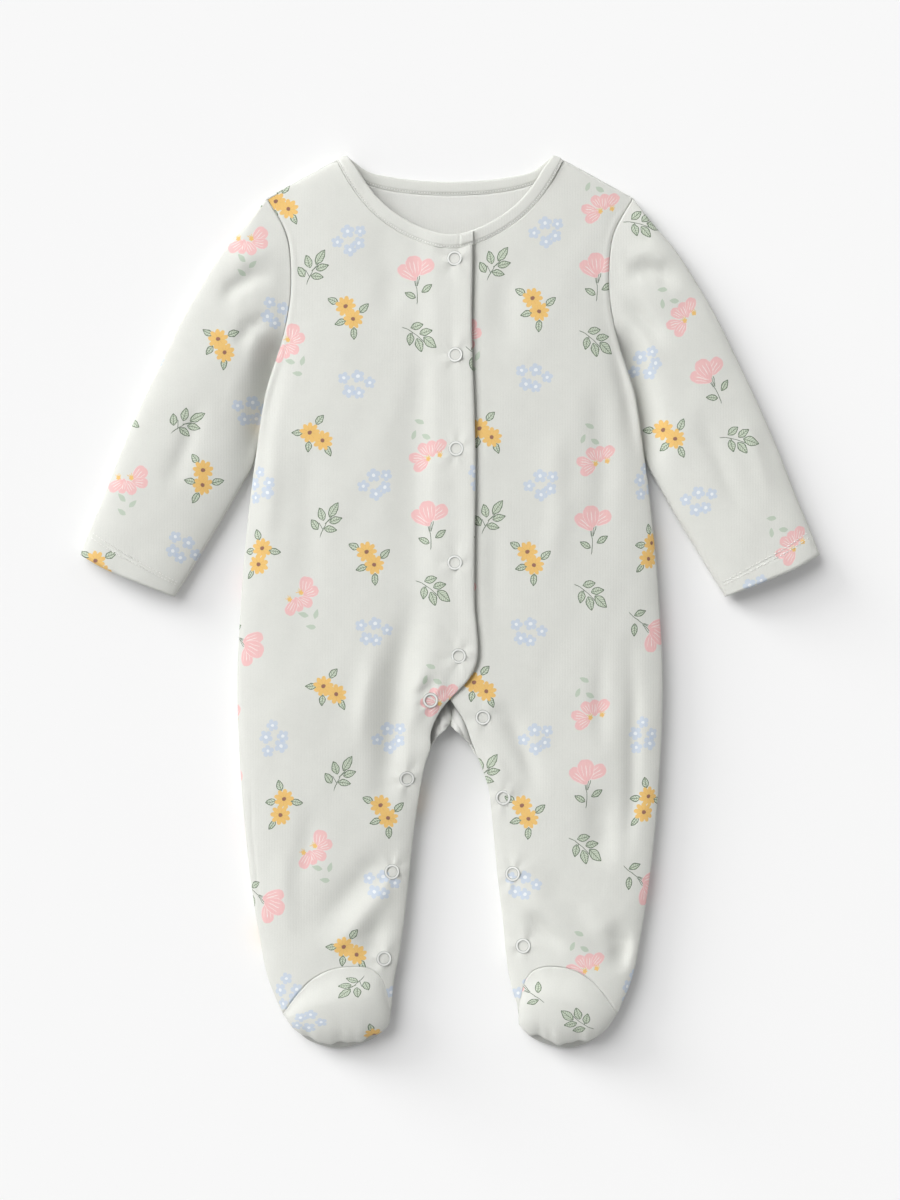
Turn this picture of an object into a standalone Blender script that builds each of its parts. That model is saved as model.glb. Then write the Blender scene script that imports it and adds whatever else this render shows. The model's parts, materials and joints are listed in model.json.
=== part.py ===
"""Footed baby sleepsuit for a newborn, fastened down its front and laid flat on its back.

Tables and sizes are in millimetres, and MM turns them into Blender's metres. X points to the
wearer's left, Y from the feet to the neck, and Z up from the surface the garment lies on.
The origin is on that surface, under the middle of the garment. Each cloth piece is an open
sheet of points with a Solidify modifier, and neighbours stay SEAM_GAP apart at their seams.
"""

import math

import bmesh
import bpy
from mathutils import Vector

MM = 0.001
WALL = 1.2
SEAM_GAP = 0.3
HALF_GAP = SEAM_GAP / 2
LIP = 1.05  # straight strip along a seam, so that both sides meet face to face

RIGHT = -1  # the wearer's right, at -X: this front lies on top
LEFT = 1

# ---------------------------------------------------------------- body outline and heights

# height along Y, half width: outer leg, side seam, armhole seam, shoulder tip
BODY_OUTLINE = (
    (-262.0, 98.5),
    (-257.0, 102.0),
    (-235.0, 111.6),
    (-216.0, 116.0),
    (-165.0, 123.9),
    (-102.0, 129.4),
    (-50.0, 131.1),
    (0.0, 128.8),
    (40.0, 125.5),
    (79.0, 121.0),
    (124.0, 114.4),
    (137.0, 111.0),
    (160.0, 103.5),
    (186.0, 98.4),
    (213.0, 98.5),
    (228.5, 101.9),
    (248.4, 113.0),
)

# height along Y, x of each front's inner edge: inner leg, crotch, then the button stand
FRONT_INNER = {
    RIGHT: (
        (-262.0, -37.5),
        (-255.0, -36.5),
        (-236.0, -34.7),
        (-215.5, -30.9),
        (-188.0, -27.2),
        (-157.0, -24.0),
        (-133.0, -21.0),
        (-102.5, -15.8),
        (-91.0, -12.1),
        (-81.0, -11.7),
        (-67.6, -5.5),
        (-58.0, 2.7),
        (-48.0, 12.0),
        (-34.0, 17.1),
        (0.0, 15.0),
        (219.0, 14.4),
    ),
    LEFT: (
        (-262.0, 42.5),
        (-250.0, 41.5),
        (-241.0, 38.6),
        (-225.0, 35.3),
        (-198.0, 32.7),
        (-172.0, 29.5),
        (-135.0, 26.0),
        (-117.0, 23.9),
        (-101.0, 18.8),
        (-88.0, 13.6),
        (-73.7, 8.4),
        (-61.4, 0.3),
        (-50.0, -6.0),
        (-35.0, -9.0),
        (219.0, -9.0),
    ),
}

BACK_CROTCH = (1.0, -74.0)
# height along Y, x of the back's inner edge between the crotch and the inner leg
BACK_CROTCH_EDGE = {
    RIGHT: ((-91.0, -12.1), (-84.0, -9.0), (-79.0, -5.0), (-74.0, 1.0)),
    LEFT: ((-88.0, 13.6), (-83.0, 10.5), (-79.0, 7.0), (-74.0, 1.0)),
}

# height along Y, height of the side and leg seams above the surface
SEAM_HEIGHT = (
    (-262.0, 8.0),
    (-216.0, 5.5),
    (-100.0, 5.0),
    (0.0, 5.5),
    (79.0, 7.0),
    (124.0, 8.0),
    (248.4, 8.0),
)

# height along Y, height of the front along its armhole edge
ARMHOLE_HEIGHT = (
    (110.0, 8.0),
    (124.0, 8.5),
    (137.0, 9.5),
    (160.0, 11.0),
    (200.0, 11.5),
    (225.0, 10.0),
    (248.4, 6.5),
)

# height along Y, height of the front's crown
FRONT_CROWN = (
    (-262.0, 17.0),
    (-225.0, 16.0),
    (-160.0, 15.5),
    (-100.0, 17.0),
    (-40.0, 19.0),
    (50.0, 20.0),
    (150.0, 18.0),
    (216.0, 14.0),
    (250.0, 12.0),
)

SHOULDER_TIP = (113.0, 248.4)
SHOULDER_NECK = (70.0, 272.0)
SHOULDER_HEIGHT = 6.5
SHOULDER_ROLL = 40.0  # how far below the shoulder seam the front reaches its full height

# x, height along Y of the front neckline, mirrored about X = 0
FRONT_NECKLINE = (
    (0.0, 216.0),
    (10.0, 217.4),
    (28.0, 224.6),
    (43.0, 234.5),
    (54.0, 245.5),
    (63.0, 258.5),
    (70.0, 272.0),
)
# the same for the back neckline
BACK_NECKLINE = (
    (0.0, 250.6),
    (20.0, 251.4),
    (40.0, 254.2),
    (55.0, 259.0),
    (64.0, 265.0),
    (70.0, 272.0),
)

BODY_POWER = 2.8  # roundness of the torso's cross-section: 2 is an ellipse, more is boxier
LEG_POWER = 2.6
LEG_MERGE = 9.0  # how far past the middle each leg's form reaches above the crotch
ARMHOLE_POWER = 5.0
SIDE_CURL = 14.0  # width over which the back curls up to its side seams
LEG_CURL = 9.0
SHOULDER_CURL = 12.0
SHOULDER_ROLL_POWER = 2.2
SHOULDER_EASE = 0.25  # more room along the shoulder seam, whose ends twist

# stretches over which one form turns into another: along Y, or along X for the shoulder's
ARMHOLE_BLEND = (122.0, 140.0)
LEG_BLEND = (-20.0, -85.0)
LEG_MERGE_BLEND = (-61.0, -42.0)
FRONT_CROTCH_BLEND = (-75.0, -92.0)
BACK_CROTCH_BLEND = (-74.0, -95.0)
SHOULDER_BLEND = (66.0, 72.0)
SHOULDER_EASE_BLEND = (220.0, 240.0)
BAND_TURN_BLEND = (55.0, 70.0)
BAND_DIRECTION_BLEND = (30.0, 70.0)

STAND_LIFT = 1.9  # the right front's button stand lies this much higher, over the left's
STAND_LIFT_FROM = -26.0
STAND_LIFT_TO = -12.0

TOP_BAND_FROM = 196.0  # above this, rows bend towards the neckline and the shoulder
FOOT_BAND_FROM = -205.0  # below this, rows bend towards the foot seams

# ---------------------------------------------------------------- feet

# share of the foot's width from its outer edge, height along Y of the toe cap's arched seam
ARCH_SEAM = (
    (0.0, -255.0),
    (0.12, -244.0),
    (0.26, -234.0),
    (0.44, -227.5),
    (0.65, -225.3),
    (0.83, -227.5),
    (0.93, -235.0),
    (1.0, -252.0),
)
# the same for the toe's outline
TOE_OUTLINE = (
    (0.0, -261.0),
    (0.07, -266.0),
    (0.2, -272.5),
    (0.45, -276.8),
    (0.67, -275.0),
    (0.87, -270.0),
    (1.0, -262.0),
)
HEEL_SEAM = -228.0
TOE_CROWN = 21.0
TOE_SEAM_HEIGHT = 8.0
TOE_POWER = 2.4
TOE_LEVEL = 0.3  # share of the toe cap's length before it rounds down to its seam
TOE_CROWN_BLEND = (0.0, 0.45)

# ---------------------------------------------------------------- sleeves

# x, y of the wearer's left sleeve's outer fold, from the shoulder tip to the cuff
SLEEVE_OUTER = (
    (113.2, 248.3),
    (125.0, 233.0),
    (139.0, 216.5),
    (153.0, 195.0),
    (165.0, 174.0),
    (176.0, 151.5),
    (190.0, 122.0),
    (203.0, 92.0),
    (213.0, 66.0),
    (221.0, 47.0),
    (228.5, 28.0),
)
# x, y of its inner fold, from the underarm, under the body's edge, to the cuff
SLEEVE_INNER = (
    (115.0, 124.0),
    (118.4, 112.0),
    (120.2, 100.0),
    (122.3, 85.0),
    (128.5, 71.0),
    (140.0, 51.0),
    (150.6, 33.5),
    (162.0, 14.7),
    (170.0, 2.0),
)
SLEEVE_CUFF = ((228.5, 28.0), (212.8, 19.2), (194.1, 11.4), (170.0, 2.0))
SLEEVE_EDGE_HEIGHT = 4.6
UNDERARM_EDGE_HEIGHT = 3.6
SLEEVE_CROWN = 14.0
CUFF_CROWN = 12.0
SLEEVE_POWER = 2.3
UNDERARM_POWER = 1.8
SLEEVE_CURL = 8.0
FOLD_BLEND = 3.5  # keeps rows apart at the underarm, where fold and armhole run alongside
ARMHOLE_GAP = 0.45
# stretches over which the sleeve's form changes, as shares of its length or its width
UNDERARM_BLEND = (0.15, 0.5)
SLEEVE_CAP_BLEND = (0.0, 0.2)
INNER_SIDE_BLEND = (0.4, 0.7)
UNDERARM_TUCK_BLEND = (0.85, 1.0)

# ---------------------------------------------------------------- neckband and snaps

BAND_WIDTH = 8.5
BAND_THICKNESS = 1.5
BAND_TURN = 1.7  # half the height that the band takes as it turns round the shoulder
BAND_RISE = 0.4  # how much higher the band's free edge stands at the front
BAND_STEP = 0.5  # half the run over which a neckline's direction is taken

SNAP_RADIUS = 3.95
SNAP_WIRE = 0.8
SNAP_GAP = 0.35
# name, x, y of each ring snap, and the front it is fixed to
SNAPS = (
    ("snap_neck", 2.8, 210.0, RIGHT),
    ("snap_chest", 3.2, 150.5, RIGHT),
    ("snap_waist_top", 3.7, 92.8, RIGHT),
    ("snap_waist", 2.9, 22.9, RIGHT),
    ("snap_belly", 5.3, -34.3, RIGHT),
    ("snap_crotch_right", -12.0, -61.6, RIGHT),
    ("snap_crotch_left", 20.2, -72.2, LEFT),
    ("snap_thigh_right", -26.5, -110.0, RIGHT),
    ("snap_knee_right", -35.7, -167.3, RIGHT),
    ("snap_ankle_right", -40.6, -220.7, RIGHT),
    ("snap_thigh_left", 32.7, -121.6, LEFT),
    ("snap_knee_left", 38.6, -168.5, LEFT),
    ("snap_ankle_left", 45.0, -212.8, LEFT),
)

# ---------------------------------------------------------------- small maths helpers


def mix(low, high, share):
    return low + (high - low) * share


def smoothstep(low, high, value):
    share = min(1.0, max(0.0, (value - low) / (high - low)))
    return share * share * (3.0 - 2.0 * share)


def curve_through(rows):
    """A smooth function through rows of (position, value), in rising order of position."""
    places = [row[0] for row in rows]
    values = [row[1] for row in rows]
    last = len(rows) - 1
    slopes = []
    for i in range(len(rows)):
        before = max(0, i - 1)
        after = min(last, i + 1)
        slopes.append((values[after] - values[before]) / (places[after] - places[before]))

    def curve(place):
        place = min(places[-1], max(places[0], place))
        i = 0
        while i < last - 1 and place > places[i + 1]:
            i += 1
        span = places[i + 1] - places[i]
        s = (place - places[i]) / span
        start = (1 + 2 * s) * (1 - s) ** 2 * values[i] + s * (1 - s) ** 2 * span * slopes[i]
        end = s * s * (3 - 2 * s) * values[i + 1] - s * s * (1 - s) * span * slopes[i + 1]
        return start + end

    return curve


def path_through(points):
    """A smooth plan path through (x, y) points, as a function of the share of its length."""
    lengths = [0.0]
    for a, b in zip(points, points[1:]):
        lengths.append(lengths[-1] + math.dist(a, b))
    shares = [length / lengths[-1] for length in lengths]
    x_at = curve_through([(s, p[0]) for s, p in zip(shares, points)])
    y_at = curve_through([(s, p[1]) for s, p in zip(shares, points)])
    return lambda share: (x_at(share), y_at(share))


def bulge(across, power):
    """Height of a unit superellipse at across, from -1 to 1."""
    return max(0.0, 1.0 - abs(across) ** power) ** (1.0 / power)


def curl(distance, width):
    """1 at an edge, falling to 0 at width inside it, upright at the edge and level inside."""
    share = min(1.0, max(0.0, distance / width))
    return 1.0 - math.sqrt(1.0 - (1.0 - share) ** 2)


half_width = curve_through(BODY_OUTLINE)
seam_height = curve_through(SEAM_HEIGHT)
armhole_height = curve_through(ARMHOLE_HEIGHT)
front_crown = curve_through(FRONT_CROWN)
front_neckline = curve_through(FRONT_NECKLINE)
back_neckline = curve_through(BACK_NECKLINE)
arch_seam = curve_through(ARCH_SEAM)
toe_outline = curve_through(TOE_OUTLINE)
front_inner = {side: curve_through(FRONT_INNER[side]) for side in (RIGHT, LEFT)}
back_crotch_edge = {side: curve_through(BACK_CROTCH_EDGE[side]) for side in (RIGHT, LEFT)}


def shoulder_line(x):
    """Height along Y of the shoulder seam's line at x, carried on towards the neck."""
    slope = (SHOULDER_NECK[1] - SHOULDER_TIP[1]) / (SHOULDER_TIP[0] - SHOULDER_NECK[0])
    return SHOULDER_TIP[1] + (SHOULDER_TIP[0] - abs(x)) * slope


def armhole_share(y):
    """0 along the side seam, 1 along the armhole."""
    return smoothstep(*ARMHOLE_BLEND, y)


def shoulder_share(x):
    """0 along a neckline, 1 along the shoulder seam."""
    return smoothstep(*SHOULDER_BLEND, abs(x))


def leg_share(y):
    """0 where the body is one tube, 1 where it is two legs."""
    return smoothstep(*LEG_BLEND, y)


def leg_inner(side, y):
    """Distance of a leg's inner side from X = 0. Above the crotch the two legs' forms run
    into each other, so that it turns negative.
    """
    return max(side * front_inner[side](y), -LEG_MERGE * smoothstep(*LEG_MERGE_BLEND, y))


def surface_height(x, y):
    """Height of the front's outer face, without the button stand's lift."""
    side = RIGHT if x < 0.0 else LEFT
    outer = half_width(y)
    inner = leg_inner(side, y)
    middle = (outer + inner) / 2
    torso = bulge(x / outer, BODY_POWER)
    leg = bulge((abs(x) - middle) / (outer - middle), LEG_POWER)
    low = seam_height(y)
    tube = low + (front_crown(y) - low) * mix(torso, leg, leg_share(y))
    low = armhole_height(y)
    chest = low + (front_crown(y) - low) * (1.0 - min(1.0, abs(x) / outer) ** ARMHOLE_POWER)
    height = mix(tube, chest, armhole_share(y))
    below = max(0.0, shoulder_line(x) - y)
    roll = bulge(1.0 - min(1.0, below / SHOULDER_ROLL), SHOULDER_ROLL_POWER)
    return SHOULDER_HEIGHT + (height - SHOULDER_HEIGHT) * roll


def stand_lift(side, x):
    """How much higher a front lies where its button stand crosses the other front."""
    return STAND_LIFT * smoothstep(STAND_LIFT_FROM, STAND_LIFT_TO, x) if side == RIGHT else 0.0


# ---------------------------------------------------------------- from points to objects

scene = bpy.context.scene
for old in list(bpy.data.objects):
    bpy.data.objects.remove(old, do_unlink=True)
garment = bpy.data.collections.new("baby_sleepsuit")
scene.collection.children.link(garment)


def material(name, colour, roughness, metallic=0.0):
    made = bpy.data.materials.new(name)
    made.use_nodes = True
    shader = made.node_tree.nodes["Principled BSDF"]
    shader.inputs["Base Color"].default_value = (*colour, 1.0)
    shader.inputs["Roughness"].default_value = roughness
    shader.inputs["Metallic"].default_value = metallic
    return made


JERSEY = material("jersey", (0.74, 0.77, 0.72), 0.9)
RIB = material("neck_binding", (0.75, 0.78, 0.73), 0.9)
ENAMEL = material("snap_enamel", (0.88, 0.89, 0.88), 0.3, 0.2)


def add_object(name, mesh, finish):
    mesh.materials.append(finish)
    made = bpy.data.objects.new(name, mesh)
    garment.objects.link(made)
    return made


def grid_faces(bm, rows, closed=False):
    """Adds a sheet of quads through rows of (x, y, z) points. closed joins each row's ends."""
    made = [[bm.verts.new((x * MM, y * MM, z * MM)) for x, y, z in row] for row in rows]
    for upper, lower in zip(made, made[1:]):
        count = len(upper)
        for i in range(count if closed else count - 1):
            j = (i + 1) % count
            bm.faces.new((upper[i], lower[i], lower[j], upper[j]))


def cloth(name, grids, faces_up=None, closed=False, thickness=WALL, offset=-1.0, finish=JERSEY):
    """One cloth piece: sheets of points, welded, faced outwards and given their thickness."""
    bm = bmesh.new()
    for rows in grids:
        part = bmesh.new()
        grid_faces(part, rows, closed)
        part.normal_update()
        if faces_up is None:
            middle = sum((v.co for v in part.verts), Vector()) / len(part.verts)
            spread = sum(
                face.calc_area() * face.normal.dot(face.calc_center_median() - middle)
                for face in part.faces
            )
            outward = spread > 0.0
        else:
            rise = sum(face.normal.z * face.calc_area() for face in part.faces)
            outward = (rise > 0.0) == faces_up
        if not outward:
            bmesh.ops.reverse_faces(part, faces=part.faces)
        sheet = bpy.data.meshes.new(name + "_sheet")
        part.to_mesh(sheet)
        part.free()
        bm.from_mesh(sheet)
        bpy.data.meshes.remove(sheet)
    bmesh.ops.remove_doubles(bm, verts=bm.verts, dist=0.00001)
    mesh = bpy.data.meshes.new(name)
    bm.to_mesh(mesh)
    bm.free()
    made = add_object(name, mesh, finish)
    mesh.shade_smooth()
    wall = made.modifiers.new("wall", "SOLIDIFY")
    wall.thickness = thickness * MM
    wall.offset = offset
    return made


# ---------------------------------------------------------------- fronts

# share of the way from a front's outer edge to its inner edge
FRONT_COLUMNS = (0.012, 0.045, 0.1, 0.18, 0.28, 0.36, 0.44, 0.53, 0.63, 0.74, 0.85, 0.93, 0.985)
TOP_ROWS = (0.9, 0.74, 0.55, 0.36, 0.18)
FOOT_ROWS = (0.3, 0.65, 1.0)
ARMHOLE_ROWS = (196, 187, 178, 169, 160, 152, 144, 137, 130, 124)
BODY_ROWS = ARMHOLE_ROWS + (
    104, 80, 50, 18, -10, -28, -40, -49, -57, -65, -74, -82, -91, -102, -120, -145, -175, -205,
)


def front_row(side, y_at, outer_y, inner_y):
    """One row of a front, as points without heights. y_at gives a point's Y from its x."""
    outer = side * half_width(outer_y)
    inner = front_inner[side](inner_y)
    lip_in = LIP * armhole_share(outer_y)
    lip_out = LIP * (1.0 - smoothstep(*FRONT_CROTCH_BLEND, inner_y))
    places = [outer, outer - side * lip_in]
    places += [mix(outer, inner, share) for share in FRONT_COLUMNS]
    places += [inner + side * lip_out, inner]
    return [(x, y_at(x)) for x in places]


def front_panel(name, side):
    def top_y(x):
        if abs(x) > SHOULDER_NECK[0]:
            return shoulder_line(x)
        return front_neckline(abs(x)) - HALF_GAP

    def raised(points, outer_lip, inner_lip, top_lip=0.0):
        """Gives a row's points their heights. A lip lifts the point next to an upright edge."""
        row = []
        for i, (x, y) in enumerate(points):
            z = surface_height(x, y) + stand_lift(side, x) + HALF_GAP
            z += SHOULDER_EASE * shoulder_share(x) * smoothstep(*SHOULDER_EASE_BLEND, y)
            if i == 1:
                z += LIP * outer_lip
            if i == len(points) - 2:
                z += LIP * inner_lip
            z += LIP * shoulder_share(x) * top_lip
            row.append((x, y, z))
        return row

    rows = []
    for k in (1.0, None) + TOP_ROWS:
        share = 1.0 if k is None else k
        back_off = LIP if k is None else 0.0

        def y_at(x, share=share, back_off=back_off):
            top = top_y(x) - back_off * (1.0 - shoulder_share(x))
            return mix(TOP_BAND_FROM, top, share)

        outer_y = mix(TOP_BAND_FROM, SHOULDER_TIP[1], share)
        row = front_row(side, y_at, outer_y, TOP_BAND_FROM)
        rows.append(raised(row, 0.0, 0.0, 1.0 if k is None else 0.0))
    for y in BODY_ROWS:
        row = front_row(side, lambda x, y=y: float(y), y, y)
        inner_lip = smoothstep(*FRONT_CROTCH_BLEND, y)
        rows.append(raised(row, 1.0 - armhole_share(y), inner_lip))
    for k in FOOT_ROWS:
        edge_y = mix(FOOT_BAND_FROM, ARCH_SEAM[0][1], k)
        inner_y = mix(FOOT_BAND_FROM, ARCH_SEAM[-1][1], k)
        outer = side * half_width(edge_y)
        inner = front_inner[side](inner_y)

        def y_at(x, k=k, outer=outer, inner=inner):
            share = min(1.0, max(0.0, (x - outer) / (inner - outer)))
            return mix(FOOT_BAND_FROM, arch_seam(share) + HALF_GAP, k)

        rows.append(raised(front_row(side, y_at, edge_y, inner_y), 1.0, 1.0))
    return cloth(name, [rows], faces_up=True)


# ---------------------------------------------------------------- back

BACK_COLUMNS = (0.02, 0.055, 0.11, 0.22, 0.36, 0.47, 0.58, 0.7, 0.82, 0.92, 0.98)
BACK_TOP_ROWS = (0.93, 0.82, 0.62, 0.3)
BACK_ROWS = ARMHOLE_ROWS + (100, 60, 10, -40, -74, -79, -84, -91, -102, -130, -165, -205)


def back_inner(side, y):
    """x of the back's inner edge: its middle above the crotch, its inner leg below."""
    if y >= BACK_CROTCH[1]:
        return BACK_CROTCH[0]
    if y > BACK_CROTCH_EDGE[side][0][0]:
        return back_crotch_edge[side](y)
    return front_inner[side](y)


def back_height(side, x, y):
    """Height of the back's outer face, which is level except where it curls up to a seam."""
    side_edge = seam_height(y) * curl(half_width(y) - abs(x), SIDE_CURL)
    side_edge *= 1.0 - armhole_share(y)
    leg = smoothstep(*BACK_CROTCH_BLEND, y)
    inner_edge = seam_height(y) * leg * curl(abs(x - back_inner(side, y)), LEG_CURL)
    shoulder = SHOULDER_HEIGHT * curl(shoulder_line(x) - y, SHOULDER_CURL)
    return max(side_edge, inner_edge, shoulder)


def back_panel(name):
    def row_points(side, y_at, outer_y, inner_y):
        outer = side * half_width(outer_y)
        inner = back_inner(side, inner_y)
        leg = smoothstep(*BACK_CROTCH_BLEND, inner_y)
        places = [outer, outer - side * LIP * armhole_share(outer_y)]
        places += [mix(outer, inner, share) for share in BACK_COLUMNS]
        places += [inner + side * LIP * (1.0 - leg), inner]
        return [(x, y_at(x)) for x in places], leg

    def lowered(side, points, outer_lip, inner_lip, top_lip=0.0):
        row = []
        for i, (x, y) in enumerate(points):
            z = back_height(side, x, y)
            drop = HALF_GAP if z > 1.0 else 0.0
            if i == 1:
                drop += LIP * outer_lip
            if i == len(points) - 2:
                drop += LIP * inner_lip
            drop += LIP * shoulder_share(x) * top_lip
            row.append((x, y, max(0.0, z - drop)))
        return row

    def top_y(x):
        if abs(x) > SHOULDER_NECK[0]:
            return shoulder_line(x)
        return back_neckline(abs(x)) - HALF_GAP

    grids = []
    for side in (RIGHT, LEFT):
        rows = []
        for k in (1.0, None) + BACK_TOP_ROWS:
            share = 1.0 if k is None else k
            back_off = LIP if k is None else 0.0

            def y_at(x, share=share, back_off=back_off):
                top = top_y(x) - back_off * (1.0 - shoulder_share(x))
                return mix(TOP_BAND_FROM, top, share)

            outer_y = mix(TOP_BAND_FROM, SHOULDER_TIP[1], share)
            points, leg = row_points(side, y_at, outer_y, TOP_BAND_FROM)
            rows.append(lowered(side, points, 0.0, leg, 1.0 if k is None else 0.0))
        for y in BACK_ROWS:
            points, leg = row_points(side, lambda x, y=y: float(y), y, y)
            rows.append(lowered(side, points, 1.0 - armhole_share(y), leg))
        points, leg = row_points(side, lambda x: HEEL_SEAM + HALF_GAP, HEEL_SEAM, HEEL_SEAM)
        rows.append(lowered(side, points, 1.0, leg))
        grids.append(rows)
    return cloth(name, grids, faces_up=False)


# ---------------------------------------------------------------- feet

FOOT_COLUMNS = (0.03, 0.1, 0.22, 0.38, 0.55, 0.72, 0.86, 0.94, 0.98)
TOE_ROWS = (0.0, 0.12, 0.3, 0.5, 0.7, 0.86, 0.96, 1.0)
SOLE_ROWS = (0.0, 0.25, 0.5, 0.7, 0.84, 0.93, 0.975, 1.0)


def toe_cap(name, side):
    """The rounded upper of a foot, from its arched seam to the seam with the sole."""
    rows = []
    for v in TOE_ROWS + (None,):
        share = 1.0 if v is None else v
        row = []
        for t in (0.0,) + FOOT_COLUMNS + (1.0,):
            arch_y = arch_seam(t) - HALF_GAP
            toe_y = toe_outline(t)
            y = mix(arch_y, toe_y, share)
            outer = side * half_width(mix(ARCH_SEAM[0][1], TOE_OUTLINE[0][1], share))
            inner = front_inner[side](mix(ARCH_SEAM[-1][1], TOE_OUTLINE[-1][1], share))
            x = mix(outer, inner, t)
            across = bulge(2.0 * t - 1.0, LEG_POWER)
            along = bulge(max(0.0, (share - TOE_LEVEL) / (1.0 - TOE_LEVEL)), TOE_POWER)
            arch_z = surface_height(x, arch_y)
            crown = mix(arch_z, TOE_SEAM_HEIGHT + (TOE_CROWN - TOE_SEAM_HEIGHT) * across,
                        smoothstep(*TOE_CROWN_BLEND, share))
            z = TOE_SEAM_HEIGHT + (crown - TOE_SEAM_HEIGHT) * along
            z = max(z, TOE_SEAM_HEIGHT) + HALF_GAP
            if v is not None:
                z += LIP
            row.append((x, y, z))
        rows.append(row)
    return cloth(name, [rows], faces_up=True)


def sole(name, side):
    """The foot's underside, level where it rests and curled up to the seam around the toe."""
    rows = []
    for v in SOLE_ROWS + (None,):
        share = 1.0 if v is None else v
        row = []
        columns = [(0.0, False), (0.0, True)]
        columns += [(t, False) for t in FOOT_COLUMNS]
        columns += [(1.0, True), (1.0, False)]
        for place, lip in columns:
            y = mix(HEEL_SEAM - HALF_GAP, toe_outline(place), share)
            outer_y = mix(HEEL_SEAM - HALF_GAP, TOE_OUTLINE[0][1], share)
            inner_y = mix(HEEL_SEAM - HALF_GAP, TOE_OUTLINE[-1][1], share)
            outer = side * half_width(outer_y)
            inner = front_inner[side](inner_y)
            x = mix(outer, inner, place)
            low = seam_height(outer_y)
            rise = max(
                low * curl(abs(x - outer), SIDE_CURL),
                low * curl(abs(x - inner), LEG_CURL),
                TOE_SEAM_HEIGHT * curl(y - toe_outline(place), SIDE_CURL),
            )
            z = rise - (HALF_GAP if rise > 1.0 else 0.0)
            if lip or (v is not None and share == 1.0):
                z -= LIP
            row.append((x, y, max(0.0, z)))
        rows.append(row)
    return cloth(name, [rows], faces_up=False)


# ---------------------------------------------------------------- sleeves

SLEEVE_ROWS = (0.0, 0.012, 0.06, 0.14, 0.25, 0.38, 0.52, 0.66, 0.8, 0.92, 1.0)
SLEEVE_TOP_COLUMNS = (0.0, 0.02, 0.07, 0.16, 0.3, 0.46, 0.62, 0.77, 0.88, 0.96, 1.0)
SLEEVE_UNDER_COLUMNS = (0.97, 0.92, 0.85, 0.6, 0.35, 0.14, 0.06, 0.015)


def sleeve(name, side):
    """A flattened tube, open at the armhole and the cuff."""
    outer_fold = path_through(SLEEVE_OUTER)
    inner_fold = path_through(SLEEVE_INNER)
    cuff = path_through(SLEEVE_CUFF)
    top_y = SLEEVE_OUTER[0][1]
    under_y = SLEEVE_INNER[0][1]

    def armhole(t):
        y = mix(top_y, under_y, t)
        edge = half_width(y) + ARMHOLE_GAP
        return (mix(edge, SLEEVE_INNER[0][0], smoothstep(*UNDERARM_TUCK_BLEND, t)), y)

    def plan(s, t):
        """Plan point at share s of the length and t of the width, between the four edges."""
        point = []
        inner_part = t**FOLD_BLEND
        for axis in (0, 1):
            along = mix(outer_fold(s)[axis], inner_fold(s)[axis], inner_part)
            across = mix(armhole(t)[axis], cuff(t)[axis], s)
            start = mix(armhole(0.0)[axis], armhole(1.0)[axis], inner_part)
            end = mix(cuff(0.0)[axis], cuff(1.0)[axis], inner_part)
            point.append(along + across - mix(start, end, s))
        return point

    rows = []
    for s in SLEEVE_ROWS:
        near_body = 1.0 - smoothstep(*UNDERARM_BLEND, s)
        inner_edge = mix(SLEEVE_EDGE_HEIGHT, UNDERARM_EDGE_HEIGHT, near_body)
        crown = mix(SLEEVE_CROWN, CUFF_CROWN, s)
        row = []
        for t in SLEEVE_TOP_COLUMNS:
            x, y = plan(s, t)
            inner_side = smoothstep(*INNER_SIDE_BLEND, t)
            edge = mix(SLEEVE_EDGE_HEIGHT, inner_edge, inner_side)
            power = mix(SLEEVE_POWER, UNDERARM_POWER, inner_side * near_body)
            z = edge + (crown - edge) * bulge(2.0 * t - 1.0, power)
            seam = min(armhole_height(y), edge + (SLEEVE_CROWN - edge) * bulge(2 * t - 1, power))
            row.append((side * x, y, mix(seam, z, smoothstep(*SLEEVE_CAP_BLEND, s))))
        for t in SLEEVE_UNDER_COLUMNS:
            x, y = plan(s, t)
            width = math.dist(plan(s, 0.0), plan(s, 1.0))
            outer_curl = SLEEVE_EDGE_HEIGHT * curl(t * width, SLEEVE_CURL)
            inner_curl = inner_edge * curl((1.0 - t) * width, SLEEVE_CURL)
            row.append((side * x, y, max(outer_curl, inner_curl)))
        rows.append(row)
    return cloth(name, [rows], closed=True)


# ---------------------------------------------------------------- neckband

def band_edges(neckline, x, turn_to=None):
    """The sewn and free edges of the neckband at x along a neckline, BAND_WIDTH apart.

    turn_to is a direction that the band's width has turned to where the shoulder begins.
    """
    ahead = min(SHOULDER_NECK[0], x + BAND_STEP)
    behind = max(0.0, x - BAND_STEP)
    rise = neckline(ahead) - neckline(behind)
    run = ahead - behind
    size = math.hypot(rise, run)
    normal = Vector((-rise / size, run / size))
    here = Vector((x, neckline(x)))
    sewn = here + normal * HALF_GAP
    if turn_to is not None:
        normal = normal.lerp(turn_to, smoothstep(*BAND_DIRECTION_BLEND, x)).normalized()
    return sewn, here + normal * (HALF_GAP + BAND_WIDTH)


def band_station(sewn, free, z_sewn, z_free):
    """Three points across the neckband: its sewn edge, its middle and its free edge."""
    low = Vector((sewn[0], sewn[1], z_sewn))
    high = Vector((free[0], free[1], z_free))
    return [tuple(low), tuple((low + high) / 2), tuple(high)]


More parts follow.
